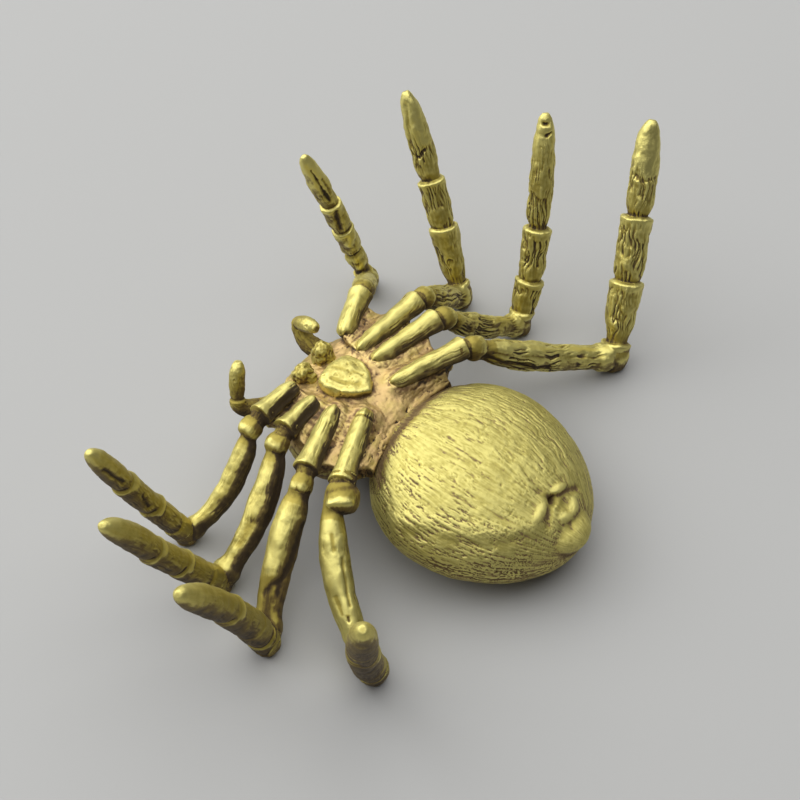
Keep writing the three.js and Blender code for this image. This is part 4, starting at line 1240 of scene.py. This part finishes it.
# Its striae are shallow on top and reach their full depth over a stretch out to the right
TOP_BARK = 0.5
FLANK_START = 3.0
FLANK_RUN = 4.0
PEDICEL = {"Length": 5.0, "Width": 2.6, "Rise": 1.3, "Depth": 1.3}
TUBERCLE = {"Length": 4.6, "Width": 5.4, "Rise": 1.0, "Depth": 1.8, "Taper": 0.0, "Flatness": 1.0}
TUBERCLE_OVERHANG = 0.4
TUBERCLE_LEVEL = 0.3
SPINNERET_WEAR = 0.9
SPINNERETS = (
    {"length": 2.6, "width": 1.3, "middle": -0.15, "spread": 1.3, "inset": 2.3, "splay": 78, "level": 0.665},
    {"length": 2.2, "width": 1.3, "middle": -0.9, "spread": 0.8, "inset": 0.5, "splay": -60, "level": 0.50},
)
# Marks on the belly side: points out to the right and back from the middle, half width, height and wear
ABDOMEN_STROKES = (
    (((9.3, -4.0), (8.3, -1.5), (7.4, 1.2), (6.2, 3.4), (4.4, 5.4), (2.9, 6.3)), 0.9, 0.14, 0.2),
    (((9.5, -2.6), (8.7, 0.2), (7.6, 2.8), (6.0, 4.9), (4.2, 6.4)), 0.6, -0.08, -0.5),
    # A groove along the front edge, its dark patina also painted shade where the abdomen meets the shell
    (((-7.0, -7.2), (-5.4, -8.2), (-4.0, -8.6), (0.0, -8.8), (3.0, -8.8), (5.4, -8.2), (7.0, -7.2)),
     0.5, -0.14, -4.0),
    (((-0.5, 6.3), (-0.45, 6.4)), 0.36, -0.9, -3.0),
    (((-0.5, 6.2), (-0.2, 5.1)), 0.35, -0.14, -1.5),
    (((-0.8, 6.45), (-2.0, 6.7), (-3.4, 7.3)), 0.34, -0.22, -2.2),
    (((-1.3, 7.2), (-0.6, 7.2)), 0.40, -0.12, -2.0),
    (((0.1, 6.6), (0.9, 6.9), (1.7, 7.4)), 0.34, -0.16, -1.6),
    (((-0.1, 8.8), (0.2, 9.1)), 0.22, -0.10, -1.5),
)
SATIN = (0.67, 0.605, 0.21, 1)
SATIN_SHADE = (0.46, 0.40, 0.115, 1)
ROSE_BROWN = (0.26, 0.18, 0.085, 1)

tail = ABDOMEN["Length"] / 2 + TUBERCLE_OVERHANG - TUBERCLE["Length"] / 2
tubercle_level = ABDOMEN["Rise"] * TUBERCLE_LEVEL


def belly_point(out, back):
    """The highest point of the abdomen's egg and tubercle over a place, in the egg's own frame."""
    height = 0.0
    for form, middle, level in ((ABDOMEN, 0.0, 0.0), (TUBERCLE, tail, tubercle_level)):
        place = min(1.0, abs(back - middle) / (form["Length"] / 2)) * math.copysign(1, back - middle)
        girth = math.sqrt(1 - place ** 2) * (1 + form["Taper"] * place)
        room = form["Width"] / 2 * girth
        if abs(out) < room:
            rise = form["Rise"] * (1 - (out / room) ** 2) ** (form["Flatness"] / 2)
            height = max(height, level + girth * rise)
    return Vector((out, back, height))


abdomen_brass = aged_brass(
    "abdomen_brass", SATIN, SATIN_SHADE, ROSE_BROWN, BROWN, roughness=0.6, streaking=3.0)
abdomen_egg = egg_form("abdomen_egg", abdomen_brass, **ABDOMEN)
flank = np.clip((mesh_spots(abdomen_egg)[:, 0] - FLANK_START) / FLANK_RUN, 0, 1)
abdomen_egg.attributes["bark"].data.foreach_set("value", TOP_BARK + (1 - TOP_BARK) * flank)
abdomen_eggs = [
    abdomen_egg,
    egg_form("pedicel", abdomen_brass, (0, -ABDOMEN["Length"] / 2, 0), **PEDICEL),
    egg_form("tubercle", abdomen_brass, (0, tail, tubercle_level), **TUBERCLE),
]
for lobe in SPINNERETS:
    for side in (-1, 1):
        half_lobe = lobe["width"] / 2
        lobe_place = (
            lobe["middle"] + side * lobe["spread"], tail - lobe["inset"], ABDOMEN["Rise"] * lobe["level"])
        abdomen_eggs.append(egg_form(
            "spinneret", abdomen_brass, lobe_place, -side * lobe["splay"], Length=lobe["length"],
            Width=lobe["width"], Rise=half_lobe, Depth=half_lobe, Worn=SPINNERET_WEAR,
        ))

# The lobes join the egg, and the whole is tilted and laid on its back
abdomen_form = joined("abdomen_lobes", abdomen_eggs, abdomen_brass)
laid = Matrix.Rotation(math.radians(ABDOMEN_TILT), 4, "X")
lowest = min((laid @ vertex.co).z for vertex in abdomen_form.vertices)
abdomen_centre = SHELL_FRONT + SHELL_LENGTH - ABDOMEN_SEAT + ABDOMEN["Length"] / 2
laid = Matrix.Translation((0, abdomen_centre, BACK_LEVEL - lowest)) @ laid
abdomen_form.transform(laid)
abdomen_strokes = [
    (np.array([laid @ belly_point(out, back) for out, back in line]), *stroke)
    for line, *stroke in ABDOMEN_STROKES
]
abdomen = casting(
    "abdomen", abdomen_form, ABDOMEN_VOXEL, abdomen_brass, abdomen_strokes, shell_blank,
    soften=ABDOMEN_SOFTENING, **ABDOMEN_RELIEF,
)
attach(abdomen, "root")
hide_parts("abdomen")
